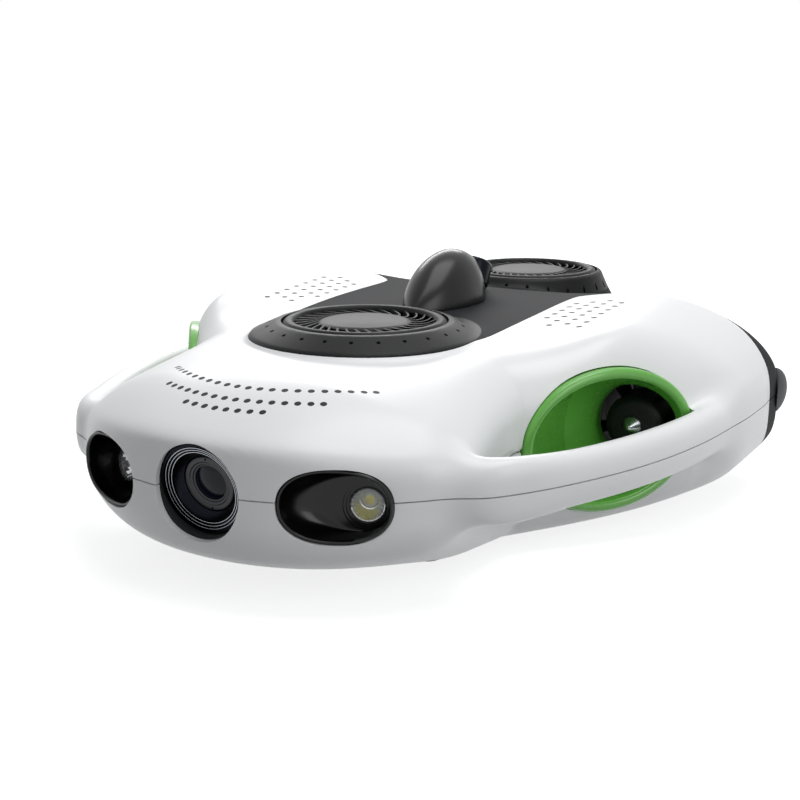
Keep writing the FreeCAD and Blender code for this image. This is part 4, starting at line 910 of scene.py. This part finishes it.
@dataclass
class Shells:
    """The two white shells and the two charcoal mouldings."""

    field: HullField
    mouths: Mouths
    seam: float = 0.3
    deck_half: float = 63.0
    dot_radius: float = 1.6
    dot_places: tuple[float, ...] = (0.07, 0.209, 0.348, 0.483, 0.616, 0.745, 0.87, 0.985, 1.095,
                                     1.198, 1.29)
    dot_arcs: tuple[tuple[int, float, float], ...] = ((11, -0.81, 1.745), (8, -0.76, 2.03),
                                                      (4, -1.025, 1.94))
    vent_radius: float = 1.75
    vent_columns: tuple[float, ...] = (2.25, 2.05, 1.86, 1.68)
    vent_pitch: float = 0.241
    ring_dot_radius: float = 1.05
    ring_dot_count: int = 24

    def dark_plan(self, spread: float) -> list[tuple[float, float]]:
        """Returns the outline in plan of the charcoal mouldings."""
        half, end, front = self.deck_half + spread, DECK_END - spread, self.field.flare_place
        edge = self.field.half_beam
        tail = smooth_path([(half, end), (half + 8, end + 7.4), (half + 33, end + 22),
                            (half + 57, end + 24), (half + 87, end + 18), (edge, end + 7.3),
                            (edge + 15, end)])
        radius = self.field.flare_radius + spread
        arc = [(radius * math.cos(a), front - radius * math.sin(a))
               for a in np.linspace(math.pi, 0, 60)]
        waist = smooth_path([(radius, front + 6), (half - 1, front + 28), (half, front + 68),
                             (half - 0.5, end - 39), (half - 1, end - 19), (half - 1, end - 7)])
        port = waist + tail + [(edge + 15, 300.0)]
        mirror = [(-x, y) for x, y in reversed(port)]
        return arc + port + mirror

    def prism(self, outline: Sequence[tuple[float, float]], low: float, high: float) -> Form:
        """Returns an upright block with the given outline."""
        return loft([[(x, y, z) for x, y in outline] for z in (low, high)])

    def nose_dots(self, slack: float = 0.0) -> list[Form]:
        """Returns the drills of the three arcs of dots, made thinner by the slack."""
        made = []
        for count, middle, radius in self.dot_arcs:
            for x in self.dot_places[:count]:
                y = MODULE * (middle - math.sqrt(radius ** 2 - x ** 2)) + MODULE_START
                made += [pole(s * MODULE * x, y, 78, 112, self.dot_radius - slack) for s in (1, -1)]
        return made

    def vents(self, slack: float = 0.0) -> list[Form]:
        """Returns the drills of the vents on the side panels, made thinner by the slack."""
        made = []
        for column, x in enumerate(self.vent_columns):
            count = 7 if column < 3 else 5
            start = 1.25 + (0.12 if column % 2 else 0) + (0.24 if count == 5 else 0)
            for i in range(count):
                y = MODULE * (start + self.vent_pitch * i) + MODULE_START
                made += [pole(s * MODULE * x, y, 88, 120, self.vent_radius - slack)
                         for s in (1, -1)]
        return made

    def ring_dots(self) -> list[Form]:
        """Returns the drills of the dots round both collars."""
        made = []
        for place, radius in ((self.field.flare_place, 50.6), (self.field.drum_place, 48.8)):
            for i in range(self.ring_dot_count):
                angle = math.radians(15 * i + 7.5)
                made.append(pole(radius * math.cos(angle), place + radius * math.sin(angle), 94,
                                 112, self.ring_dot_radius, 16))
        return made

    def openings(self, lamps: Sequence["Lamp"], camera: "Camera") -> Form:
        """Returns everything that the shells are pierced by, apart from the dots."""
        tools = [self.mouths.cutter(), self.mouths.cutter().mirrored(), camera.cutter()]
        tools += [lamp.cutter() for lamp in lamps]
        return joined(tools)

    def bores(self) -> Form:
        """Returns the bores of the lift thrusters with the seats of their rings."""
        top = self.field.ring_top
        profile = [(0, -20), (38.8, -20), (38.8, top - 7), (43.35, top - 7), (43.35, top + 20),
                   (0, top + 20)]
        return joined([Form([(x, y + place, z) for x, y, z in lathe(profile).points],
                            lathe(profile).faces)
                       for place in (self.field.flare_place, self.field.drum_place)])

    def build(self, lamps: Sequence["Lamp"], camera: "Camera", fittings: "Underside") -> None:
        """Makes the four mouldings.

        Args:
            lamps: Both lamps, whose openings pierce the shells.
            camera: The camera, whose opening pierces them too.
            fittings: The feet and screws, which are let into the belly.
        """
        step = 1.5
        skin = carved(self.field.skin(step, 0), self.field.skin(4.0, WALL))
        # painted shade: a black sheet just inside the shells, so that the holes and openings read
        # dark
        lining = self.field.skin(4.0, WALL + 0.3)
        for number, tool in enumerate([self.openings(lamps, camera), self.bores(),
                                       fittings.cutter()]):
            skin = carved(skin, tool.mesh("tool%d" % number))
            lining = carved(lining, tool.mesh("lining%d" % number))
        fit("black_lining_painted_shade", lining, Stock.RUBBER, "hull")
        # painted shade: black plugs just under the surface of the nose dots and vents, standing in
        # for the shade inside the holes
        plugs = joined(self.nose_dots(0.06) + self.vents(0.06)).mesh("plugs")
        fit("hole_plugs_painted_shade", carved(self.field.skin(step, -0.03), plugs, Join.KEEP), Stock.DUCT,
            "hull")
        far = 400.0
        square = [(-far, -far), (far, -far), (far, far), (-far, far)]
        above = self.prism(square, PART_LINE + self.seam, far)
        below = self.prism(square, -far, PART_LINE - self.seam)
        upper = carved(skin, above.mesh("a"), Join.KEEP)
        lower = carved(skin, below.mesh("b"), Join.KEEP)
        tail = [p for p in self.dark_plan(0) if p[1] >= DECK_END - 1]
        wide = [p for p in self.dark_plan(self.seam) if p[1] >= DECK_END - 1]
        jobs = [
            ("white_upper_shell", upper, self.dark_plan(self.seam), Join.CUT, Stock.WHITE_SHELL,
             "white_shell", "upper_shell", self.nose_dots() + self.vents()),
            ("white_lower_shell", lower, wide, Join.CUT, Stock.WHITE_SHELL, "white_shell",
             "lower_shell", []),
            ("charcoal_deck", upper, self.dark_plan(0), Join.KEEP, Stock.DECK, "black_shell",
             "deck_cover", self.ring_dots()),
            ("charcoal_tail", lower, tail, Join.KEEP, Stock.DECK, "black_shell", "rear_cover", []),
        ]
        for name, source, outline, way, stock, slot, node, drills in jobs:
            made = carved(source.copy(), self.prism(outline, -60, 300).mesh("plan"), way)
            if drills:
                made = carved(made, joined(drills).mesh("drills"))
            if name == "charcoal_deck":
                zones = joined([pole(0, self.field.flare_place, -60, 300, self.field.flare_radius,
                                     96),
                                pole(0, self.field.drum_place, 96, 300, self.field.drum_radius - 5,
                                     96)])
                fit("black_ring_collars", carved(made.copy(), zones.mesh("zones"), Join.KEEP),
                    Stock.TRIM,
                    "hull", [node], sharp=38)
                made = carved(made, zones.mesh("zones"))
            fit(name, made, stock, "hull", [node], sharp=38)


@dataclass
class LiftThruster:
    """An upright thruster: intake grille on top, propeller inside."""

    where: str
    place: float
    top: float = 108.0
    ring: float = 43.0
    bore: float = 36.5
    hub: float = 24.3
    vanes: int = 30
    vane_sweep: float = 26.0

    def build(self) -> None:
        """Makes the grille and the propeller."""
        base = self.top - 7
        ring = rounded([(self.bore, base), (self.ring, base), (self.ring, self.top - 2.2),
                        (self.ring - 2.4, self.top), (self.bore + 1.6, self.top),
                        (self.bore, self.top - 1.8)],
                       1.1, True)
        cap = rounded([(0, base + 3), (self.hub - 1, base + 3), (self.hub, base + 4.2),
                       (self.hub, self.top - 2.2), (self.hub - 2.4, self.top - 1.2),
                       (self.hub * 0.6, self.top - 0.3),
                       (self.hub * 0.3, self.top + 0.3), (0, self.top + 0.4)], 0.9, False)
        trim = frame_at(0, self.place, 0, Matrix.Identity(3))
        whole = joined([lathe(ring, closed=True), lathe(cap)])
        fit(self.where + "_intake_ring_and_hub", whole.mesh("ring"), Stock.TRIM, "hull",
            [self.where + "_intake_grille"], trim)
        blades = []
        for i in range(self.vanes):
            spine = []
            for k in range(9):
                t = k / 8
                radius = self.hub - 1.2 + (self.bore - self.hub + 2.2) * t
                angle = 2 * math.pi * i / self.vanes + math.radians(self.vane_sweep) * t ** 1.2
                x, y = radius * math.cos(angle), radius * math.sin(angle)
                dx, dy = -math.sin(angle), math.cos(angle)
                z = self.top - 1.6 - 0.8 * math.sin(math.pi * t)
                spine.append([(x - 0.7 * dx, y - 0.7 * dy, z), (x + 0.7 * dx, y + 0.7 * dy, z),
                              (x + 2.6 * dx, y + 2.6 * dy, z - 4.0),
                              (x + 1.2 * dx, y + 1.2 * dy, z - 4.0)])
            blades.append(loft(spine))
        fit(self.where + "_intake_vanes", joined(blades).mesh("vanes"), Stock.DUCT, "hull",
            [self.where + "_intake_grille"], trim)
        dress_propeller(self.where, self.bore)


def dress_propeller(where: str, bore: float) -> None:
    """Makes one propeller round its CAD node's middle.

    Args:
        where: The thruster's name.
        bore: Inside radius of its duct.
    """
    low, high = (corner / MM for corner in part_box(where + "_propeller"))
    middle = (low + high) / 2
    upright = where in ("front", "rear")
    turn = Matrix.Identity(3) if upright else Matrix.Rotation(math.radians(-90), 3, "X")
    place = frame_at(middle.x, middle.y, middle.z, turn)
    tip = bore - 1.2
    sections = []
    for k in range(9):
        t = k / 8
        radius = 6.5 + (tip - 6.5) * t
        chord = (9 + 9 * math.sin(math.pi * min(t * 0.78 + 0.14, 1))) * (tip / 23) ** 0.3
        sections.append((radius, chord, 2.2 - 1.2 * t, 42 - 24 * t, 1.5 * t * t))
    blade = wing(sections)
    hub = lathe(rounded([(0, -5), (7, -5), (8, -4), (8, 3.4), (5.6, 5), (0, 5)], 1.2, False), 64)
    core = hub.mesh("hub")
    for i in range(3):
        core = carved(core, blade.moved(turn_about("Z", 120 * i)).mesh("blade"), Join.FUSE)
    core = carved(core, pole(0, 0, -20, 20, 2.04, 32).mesh("bore"))
    fit(where + "_bladed_propeller", core, Stock.BLADE, where + "_rotor",
        [where + "_propeller"], place, 40)


@dataclass
class DriveThruster:
    """A lengthwise thruster: ring, struts, hub and cone ahead of its propeller."""

    side: Side
    offset: float = 127.0
    face: float = 6.0
    bore: float = 24.0
    wall: float = 2.6
    hub: float = 15.5
    lead: float = 9.0
    depth: float = 16.0

    def build(self) -> None:
        """Makes the drive ring with its hub, the cone and the propeller."""
        turn = Matrix.Rotation(math.radians(-90), 3, "X")
        place = frame_at(self.side.sign * self.offset, self.face, PART_LINE, turn)
        outer = self.bore + self.wall
        rim = rounded([(self.bore, 0), (outer, 0), (outer, self.depth), (self.bore, self.depth)],
                      0.8, True)
        cup = rounded([(0, -self.lead), (self.hub - 3, -self.lead), (self.hub, 2.6 - self.lead),
                       (self.hub, self.depth - 2), (14.3, self.depth - 2), (14.3, 2 - self.lead),
                       (0, 2 - self.lead)], 1.4, False)
        body = joined([lathe(rim, closed=True), lathe(cup)]).mesh("ring")
        for i in range(5):
            spoke = wing([(self.hub - 1 + (self.bore - self.hub + 1.6) * k / 4, 10.5, 3.6,
                           76 - 4 * k, 0)
                          for k in range(5)])
            spoke = spoke.moved(turn_about("Z", 90 + 72 * i) @ Matrix.Translation((0, 0, 7)))
            body = carved(body, spoke.mesh("spoke"), Join.FUSE)
        name = self.side.name
        fit(name + "_strutted_ring", body, Stock.DUCT, "hull",
            [name + "_drive_ring"], place)
        tip = -self.lead
        cone = lathe(rounded([(0, tip), (5, tip), (5, tip - 0.8), (1.2, tip - 6), (0, tip - 6.3)],
                             0.5, False), 64)
        fit(name + "_hub_cone", cone.mesh("cone"), Stock.STEEL, "hull",
            ["nose_cones"], place, 50)
        dress_propeller(name, self.bore)


@dataclass
class Lamp:
    """One lamp: a glossy black scoop with a faceted bowl at its outboard end."""

    side: Side
    offset: float = 61.3
    setback: float = 17.0
    height: float = 52.3
    toe_out: float = 23.7
    half_length: float = 25.3
    half_height: float = 16.8
    depth: float = 16.0
    shift: float = 12.6
    drop: float = 3.5
    bowl: float = 8.0
    bowl_depth: float = 9.0

    def place(self) -> Matrix:
        """Returns the lamp's frame in metres, its Z pointing out of the hull."""
        turn = turn_about("Z", self.side.sign * self.toe_out) @ turn_about("X", 90)
        return frame_at(self.side.sign * self.offset, NOSE_END + self.setback, self.height,
                        turn.to_3x3())

    def oval(self, spread: float, z: float, blend: float = 0.0, radius: float = 0.0) -> list[Point]:
        """Returns the opening's outline, drawn towards the bowl's circle.

        Args:
            spread: How far the outline lies outside the opening.
            z: Its height along the lamp's own axis.
            blend: 0 for the opening and 1 for the circle.
            radius: The circle's radius.

        Returns:
            The outline.
        """
        half, high = self.half_length + spread, self.half_height + spread
        made = []
        for angle in angles(72):
            c, s = math.cos(angle), math.sin(angle)
            x = math.copysign(abs(c) ** 0.84, c) * half
            y = math.copysign(abs(s) ** 0.9, s) * high
            u = self.side.sign * self.shift + radius * c
            v = -self.drop + radius * s
            made.append((x + (u - x) * blend, y + (v - y) * blend, z))
        return made

    def cutter(self) -> Form:
        """Returns the opening that the lamp needs in the shells."""
        rings = [self.oval(0.3, 34), self.oval(0.3, -9), self.oval(0.3, -34, 0.5, 12)]
        return loft(rings).moved(scaled_frame(self.place()))

    def build(self) -> None:
        """Makes the scoop, bowl and emitter."""
        name, place = self.side.name, self.place()
        deep, throat = self.depth, self.bowl + 0.4
        rings = [self.oval(0, -deep - 1, 0.72, throat + 3), self.oval(0, -9), self.oval(0, -0.6),
                 self.oval(-0.5, 0.1), self.oval(-1.3, 0.1), self.oval(-1.9, -0.6)]
        for k in range(1, 11):
            t = k / 10
            rings.append(self.oval(-1.9, -0.6 - (deep - 2.2) * math.sin(0.5 * math.pi * t) ** 1.35,
                                   0.86 * t ** 1.7, throat + 3.4))
        for step, drop in ((2.6, 0.0), (2.4, 0.9), (1.3, 0.9), (1.1, 1.8), (0.0, 1.8), (0.0, 14.0)):
            rings.append(self.oval(0, -deep + 1.6 - drop, 1, throat + step))
        rings.append(self.oval(0, -deep - 12.4, 1, throat + 1.6))
        fit(name + "_lamp_scoop", loft(rings, capped=False).mesh("scoop"), Stock.LAMP_BLACK, "hull",
            [name + "_lamp_cup"], place, 42)
        self.build_bowl(name, place)

    def build_bowl(self, name: str, place: Matrix) -> None:
        """Makes the faceted reflector with its emitter.

        Args:
            name: The side's name.
            place: The lamp's frame.
        """
        deep = self.depth
        here = place @ Matrix.Translation((self.side.sign * self.shift * MM, -self.drop * MM,
                                           -deep * MM))
        steps, facets = 9, 24
        outside = [(self.bowl - 0.1, -self.bowl_depth), (self.bowl - 0.1, -0.4),
                   (self.bowl - 0.5, 0.0)]
        inside = [(3.4 + (self.bowl - 4.1) * (k / steps) ** 0.62, -self.bowl_depth + 0.8
                   + (self.bowl_depth - 0.9) * k / steps) for k in range(steps, -1, -1)]
        profile = outside + inside + [(3.4, -self.bowl_depth)]
        bowl = lathe(profile, facets, True).mesh("bowl")
        fit(name + "_faceted_bowl", bowl, Stock.REFLECTOR, "hull",
            [name + "_lamp_reflector"], here, 8)
        disc = rounded([(0, -self.bowl_depth), (3.3, -self.bowl_depth),
                        (3.3, -self.bowl_depth + 1.3),
                        (0, -self.bowl_depth + 1.3)], 0.3, False)
        fit(name + "_emitter_base", lathe(disc, 48).mesh("base"), Stock.CERAMIC, "hull",
            ["light_emitters"], here)
        dome = [(2.1 * math.cos(a), -self.bowl_depth + 1.3 + 1.5 * math.sin(a))
                for a in np.linspace(0, 0.5 * math.pi, 9)]
        foot = -self.bowl_depth + 1.2
        dome = [(0, foot), (2.1, foot)] + dome[1:-1] + [(0, dome[-1][1])]
        fit(name + "_emitter_dome", lathe(dome, 48).mesh("dome"), Stock.EMITTER, "hull",
            ["light_emitters"], here, 60)


@dataclass
class Camera:
    """The camera in the middle of the nose."""

    setback: float = 6.0
    height: float = 54.5
    tilt: float = 10.0
    radius: float = 22.0
    barrel: float = 13.2
    glass: float = 8.1
    ridge_count: int = 3
    ridge_pitch: float = 1.25
    ridge_fall: float = 0.5

    def place(self) -> Matrix:
        """Returns the camera's frame in metres, its Z pointing ahead."""
        return frame_at(0, NOSE_END + self.setback, self.height,
                        turn_about("X", 90 + self.tilt).to_3x3())

    def cutter(self) -> Form:
        """Returns the opening that the camera needs in the shells."""
        r = self.radius + 0.3
        return lathe([(0, -30), (r, -30), (r, 30), (0, 30)]).moved(scaled_frame(self.place()))

    def build(self) -> None:
        """Makes the stepped bezel, its ridges, the barrel and the lens."""
        place, r = self.place(), self.radius
        steps = [(self.barrel + 0.4, -12), (r, -12), (r, -0.6), (r - 0.6, 0.4), (r - 1.4, 0.4)]
        ridges = []
        for i in range(self.ridge_count):
            edge, low = r - 1.5 - self.ridge_pitch * i, -self.ridge_fall * i
            steps += [(edge, low - 0.5), (edge - 0.7, low - 0.5), (edge - 0.7, low - 0.1),
                      (edge - 1.1, low - 0.1)]
            ridges.append(lathe(rounded([(edge - 1.02, low - 0.3), (edge - 0.74, low - 0.3),
                                         (edge - 0.74, low + 0.02), (edge - 1.02, low + 0.02)],
                                        0.08, True, 2), 128, True))
        steps += [(r - 5.4, -2.4), (self.barrel + 0.9, -5.2), (self.barrel + 0.4, -5.6)]
        fit("camera_stepped_bezel", lathe(steps, 128, True).mesh("bezel"), Stock.BEZEL, "hull",
            ["camera_bezel"], place)
        # painted highlight: the ridges take a bright copy of the bezel's metal in place of the
        # light they catch
        fit("camera_bezel_ridges", joined(ridges).mesh("ridges"), Stock.RIDGE, "hull",
            ["camera_bezel"], place)
        face, b, g = -5.2, self.barrel, self.glass
        barrel = rounded([(0, -34), (b, -34), (b, face - 0.5), (b - 0.6, face), (g + 2.6, face),
                          (g + 2.2, face - 0.6), (g + 1.2, face - 0.6), (g + 0.9, face - 1.3),
                          (g + 0.15, face - 1.3), (g + 0.15, face - 3.4), (0, face - 3.4)], 0.25,
                          False, 3)
        body = lathe(barrel, 128).mesh("barrel")
        body = carved(body, joined([pole(0, s * (g + 3.8), face - 1.5, face + 1, 0.55, 16)
                                    for s in (1, -1)]).mesh("dots"))
        fit("camera_lens_barrel", body, Stock.BARREL, "hull", ["camera_barrel"],
            place)
        bulge = [(g * math.sin(a) / math.sin(0.62),
                  face - 1.6 + 9.5 * (math.cos(a) - math.cos(0.62)))
                 for a in np.linspace(0.62, 0, 18)]
        glass = [(0, face - 3.3), (g, face - 3.3)] + bulge[:-1] + [(0, bulge[-1][1])]
        fit("camera_front_glass", lathe(glass, 96).mesh("glass"), Stock.LENS, "hull",
            ["camera_lens"], place, 60)


@dataclass
class TetherDome:
    """The bullet-shaped dome on the deck with the socket on its slanted back."""

    front: float = -9.0
    rear: float = 85.0
    base: float = 103.0
    rise: float = 29.5
    half: float = 20.5
    socket: tuple[float, float] = (69.0, 119.0)
    lean: float = 28.0
    collar: float = 11.0
    bore: float = 6.0

    def ovals(self) -> list[list[Point]]:
        """Returns the dome's cross-sections, from tip to tail."""
        rings = []
        for i in range(44):
            t = 0.0008 + 0.9992 * (i / 43) ** 1.9
            y = self.front + (self.rear - self.front) * t
            swell = (1 - (1 - min(t / 0.52, 1)) ** 2) ** 0.98
            girth = (1 - (1 - min(t / 0.45, 1)) ** 2) ** 0.84
            wide = self.half * girth * float(1 - 0.95 * ease(0.5, 1.02, t))
            high = self.rise * swell * float(1 - 0.42 * ease(0.5, 1.02, t))
            rings.append([(wide * math.cos(a), y, self.base - 1 + (high + 1) * math.sin(a))
                          for a in np.linspace(0, 2 * math.pi, 64, endpoint=False)])
        return rings

    def build(self) -> None:
        """Makes the dome and the socket's collar."""
        turn = turn_about("X", -self.lean)
        place = frame_at(0, self.socket[0], self.socket[1], turn.to_3x3())
        inner = scaled_frame(place)
        body = loft(self.ovals()).mesh("dome")
        face = lathe([(0, 0), (60, 0), (60, 60), (0, 60)]).moved(inner)
        hole = lathe([(0, -13), (self.collar + 0.3, -13), (self.collar + 0.3, 5),
                      (0, 5)]).moved(inner)
        floor = loft([[(x, y, z) for x, y in ((-90, -90), (90, -90), (90, 200), (-90, 200))]
                      for z in (40, self.base + 0.1)])
        for tool in (face, hole, floor):
            body = carved(body, tool.mesh("tool"))
        fit("bullet_dome", body, Stock.DOME, "hull", ["tether_dome"], None, 40)
        ring = rounded([(self.bore, -11), (self.collar, -11), (self.collar, 1.6),
                        (self.collar - 1.2, 3),
                        (self.bore + 1.6, 3), (self.bore, 1.6)], 0.7, True)
        fit("tether_socket_collar", lathe(ring, closed=True).mesh("collar"), Stock.BEZEL, "hull",
            ["tether_socket"], place)


@dataclass
class Underside:
    """What is let into the belly: four feet and six screws."""

    def islands(self, node: str) -> list[tuple[Vector, Vector]]:
        """Returns the corners in millimetres of every solid in a CAD node."""
        work = bmesh.new()
        work.from_mesh(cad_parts[node].data)
        bmesh.ops.remove_doubles(work, verts=work.verts, dist=1e-6)
        todo, made = set(work.verts), []
        while todo:
            group, queue = [], [todo.pop()]
            while queue:
                here = queue.pop()
                group.append(here.co / MM)
                for edge in here.link_edges:
                    other = edge.other_vert(here)
                    if other in todo:
                        todo.remove(other)
                        queue.append(other)
            made.append((Vector(map(min, zip(*group))), Vector(map(max, zip(*group)))))
        work.free()
        return made

    def cutter(self) -> Form:
        """Returns the recesses in the belly."""
        tools = []
        for node, room in (("rubber_feet", 0.3), ("shell_screws", 0.3), ("accessory_insert", 0.1)):
            for low, high in self.islands(node):
                middle, radius = (low + high) / 2, (high.x - low.x) / 2 + room
                tools.append(pole(middle.x, middle.y, -10, high.z + room, radius, 40))
        return joined(tools)

    def build(self) -> None:
        """Makes the feet."""
        forms = []
        for low, high in self.islands("rubber_feet"):
            radius, middle = (high.x - low.x) / 2, (low + high) / 2
            profile = rounded([(0, 0), (radius - 0.4, 0), (radius, 1.2), (radius, high.z - low.z),
                               (0, high.z - low.z)], 0.9, False)
            forms.append(lathe(profile, 64).moved(Matrix.Translation((middle.x, middle.y, low.z))))
        fit("rounded_feet", joined(forms).mesh("feet"), Stock.RUBBER, "hull",
            ["rubber_feet"])


@dataclass
class KeptNodes:
    """CAD nodes whose shape is right, which only need their finish."""

    def stock_for(self, node: str) -> Stock:
        """Returns the finish of a CAD node from its name."""
        table = (("motor_shaft", Stock.STEEL), ("motor", Stock.MOTOR), ("tunnel", Stock.DUCT),
                 ("guard", Stock.DUCT), ("outlet_tube", Stock.DUCT),
                 ("heat_sinks", Stock.ALUMINIUM),
                 ("windows", Stock.WINDOW), ("collar", Stock.ALUMINIUM), ("board", Stock.BOARD),
                 ("contacts", Stock.GOLD), ("tube_cap", Stock.ALUMINIUM),
                 ("electronics", Stock.ALUMINIUM),
                 ("seals", Stock.RUBBER), ("battery", Stock.BATTERY), ("cradles", Stock.DUCT),
                 ("ballast", Stock.BALLAST), ("screws", Stock.STEEL), ("insert", Stock.BRASS),
                 ("bumpers", Stock.RUBBER))
        return next((stock for key, stock in table if key in node), Stock.TRIM)

    def build(self) -> None:
        """Dresses every CAD node that is still shown."""
        for name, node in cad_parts.items():
            stock = self.stock_for(name)
            node.data.materials.clear()
            node.data.materials.append(stock.material())
            LOG.info("%s keeps its shape in %s", name, stock.value.name)


# ------------------------------------------------------------------ stage


@dataclass
class Studio:
    """Floor, world, lamps and camera."""

    eye: Point = (0.3646, -0.6832, 0.2399)
    ahead: Point = (-0.4685, 0.8514, -0.2358)
    lens: float = 64.07
    world_light: float = 0.27
    floor_size: float = 6.0

    def seen(self, tree: bpy.types.NodeTree) -> bpy.types.NodeSocket:
        """Returns a value that is one for what the eye, gloss and glass see."""
        path = add_node(tree, "ShaderNodeLightPath")
        first = add_node(tree, "ShaderNodeMath", {"operation": "MAXIMUM"},
                         {0: path.outputs["Is Camera Ray"], 1: path.outputs["Is Glossy Ray"]})
        both = add_node(tree, "ShaderNodeMath", {"operation": "MAXIMUM"},
                        {0: first.outputs[0], 1: path.outputs["Is Transmission Ray"]})
        return both.outputs[0]

    def world(self) -> None:
        """Makes a white surround that lights the vehicle softly."""
        world = bpy.data.worlds.new("surround")
        bpy.context.scene.world = world
        world.use_nodes = True
        tree = world.node_tree
        tree.nodes.clear()
        light = add_node(tree, "ShaderNodeBackground", {"Color": linear("F6F7F8"),
                                                        "Strength": self.world_light})
        white = add_node(tree, "ShaderNodeBackground", {"Color": (1, 1, 1, 1), "Strength": 1.0})
        mix = add_node(tree, "ShaderNodeMixShader", None, {0: self.seen(tree), 1: light.outputs[0],
                                                           2: white.outputs[0]})
        add_node(tree, "ShaderNodeOutputWorld", None, {"Surface": mix.outputs[0]})

    def floor(self) -> None:
        """Makes the pale floor, which keeps the vehicle's shadow."""
        material = bpy.data.materials.new("pale_floor")
        material.use_nodes = True
        tree = material.node_tree
        tree.nodes.clear()
        plain = add_node(tree, "ShaderNodeBsdfDiffuse", {"Color": linear("A6A7A8")})
        lit = add_node(tree, "ShaderNodeBsdfDiffuse", {"Color": linear("BABBBC")})
        spot = add_node(tree, "ShaderNodeNewGeometry").outputs["Position"]
        away = add_node(tree, "ShaderNodeVectorMath", {"operation": "LENGTH"},
                        {0: spot}).outputs["Value"]
        fade = add_node(tree, "ShaderNodeMapRange", {"From Min": 0.35, "From Max": 1.1,
                                                     "To Min": 0.8,
                                                     "To Max": 1.0}, {"Value": away})
        glow = add_node(tree, "ShaderNodeEmission", {"Color": (1, 1, 1, 1)},
                        {"Strength": fade.outputs[0]})
        bright = add_node(tree, "ShaderNodeAddShader", None,
                          {0: lit.outputs[0], 1: glow.outputs[0]})
        mix = add_node(tree, "ShaderNodeMixShader", None, {0: self.seen(tree), 1: plain.outputs[0],
                                                           2: bright.outputs[0]})
        add_node(tree, "ShaderNodeOutputMaterial", None, {"Surface": mix.outputs[0]})
        low, far = CAD_BOX[0].z - 0.0002, self.floor_size
        mesh = bpy.data.meshes.new("floor")
        mesh.from_pydata([(-far, -far, low), (far, -far, low), (far, far, low), (-far, far, low)],
                         [], [(0, 1, 2, 3)])
        mesh.materials.append(material)
        made = bpy.data.objects.new("floor", mesh)
        bpy.context.scene.collection.objects.link(made)

    def lamp(self, name: str, at: Point, aim: Point, size: tuple[float, float],
             power: float) -> None:
        """Adds one softbox.

        Args:
            name: The lamp's name.
            at: Where it stands, in metres.
            aim: What it points at.
            size: Its width and height.
            power: Its power in watts.
        """
        data = bpy.data.lights.new(name, "AREA")
        data.shape = "RECTANGLE"
        data.size, data.size_y = size
        data.energy = power
        made = bpy.data.objects.new(name, data)
        made.location = at
        made.rotation_euler = (Vector(aim) - Vector(at)).to_track_quat("-Z", "Y").to_euler()
        bpy.context.scene.collection.objects.link(made)

    def build(self) -> None:
        """Sets the stage."""
        self.world()
        self.floor()
        self.lamp("top_box", (0.25, 0.15, 1.5), (0, 0, 0.05), (1.2, 1.0), 13.0)
        self.lamp("port_box", (1.3, -0.35, 0.55), (0, 0, 0.05), (0.5, 0.9), 4.0)
        self.lamp("rear_strip", (-0.7, 1.1, 0.7), (0, 0, 0.08), (1.0, 0.25), 5.0)
        data = bpy.data.cameras.new("view")
        data.lens, data.sensor_width = self.lens, 36.0
        data.clip_start, data.clip_end = 0.02, 40.0
        made = bpy.data.objects.new("view", data)
        made.location = self.eye
        made.rotation_mode = "QUATERNION"
        made.rotation_quaternion = Vector(self.ahead).to_track_quat("-Z", "Y")
        bpy.context.scene.collection.objects.link(made)
        bpy.context.scene.camera = made
        bpy.context.scene.view_settings.view_transform = "Standard"


def main() -> None:
    """Builds the vehicle and sets the stage."""
    logging.basicConfig(level=logging.INFO, format="%(message)s")
    KeptNodes().build()
    field = HullField()
    mouths = Mouths(field)
    lamps = [Lamp(PORT), Lamp(STARBOARD)]
    camera = Camera()
    underside = Underside()
    Shells(field, mouths).build(lamps, camera, underside)
    underside.build()
    camera.build()
    for side, lamp in zip((PORT, STARBOARD), lamps):
        mouths.build(side)
        DriveThruster(side).build()
        lamp.build()
    LiftThruster("front", field.flare_place).build()
    LiftThruster("rear", field.drum_place).build()
    TetherDome().build()
    Studio().build()


if __name__ == "__main__":
    main()
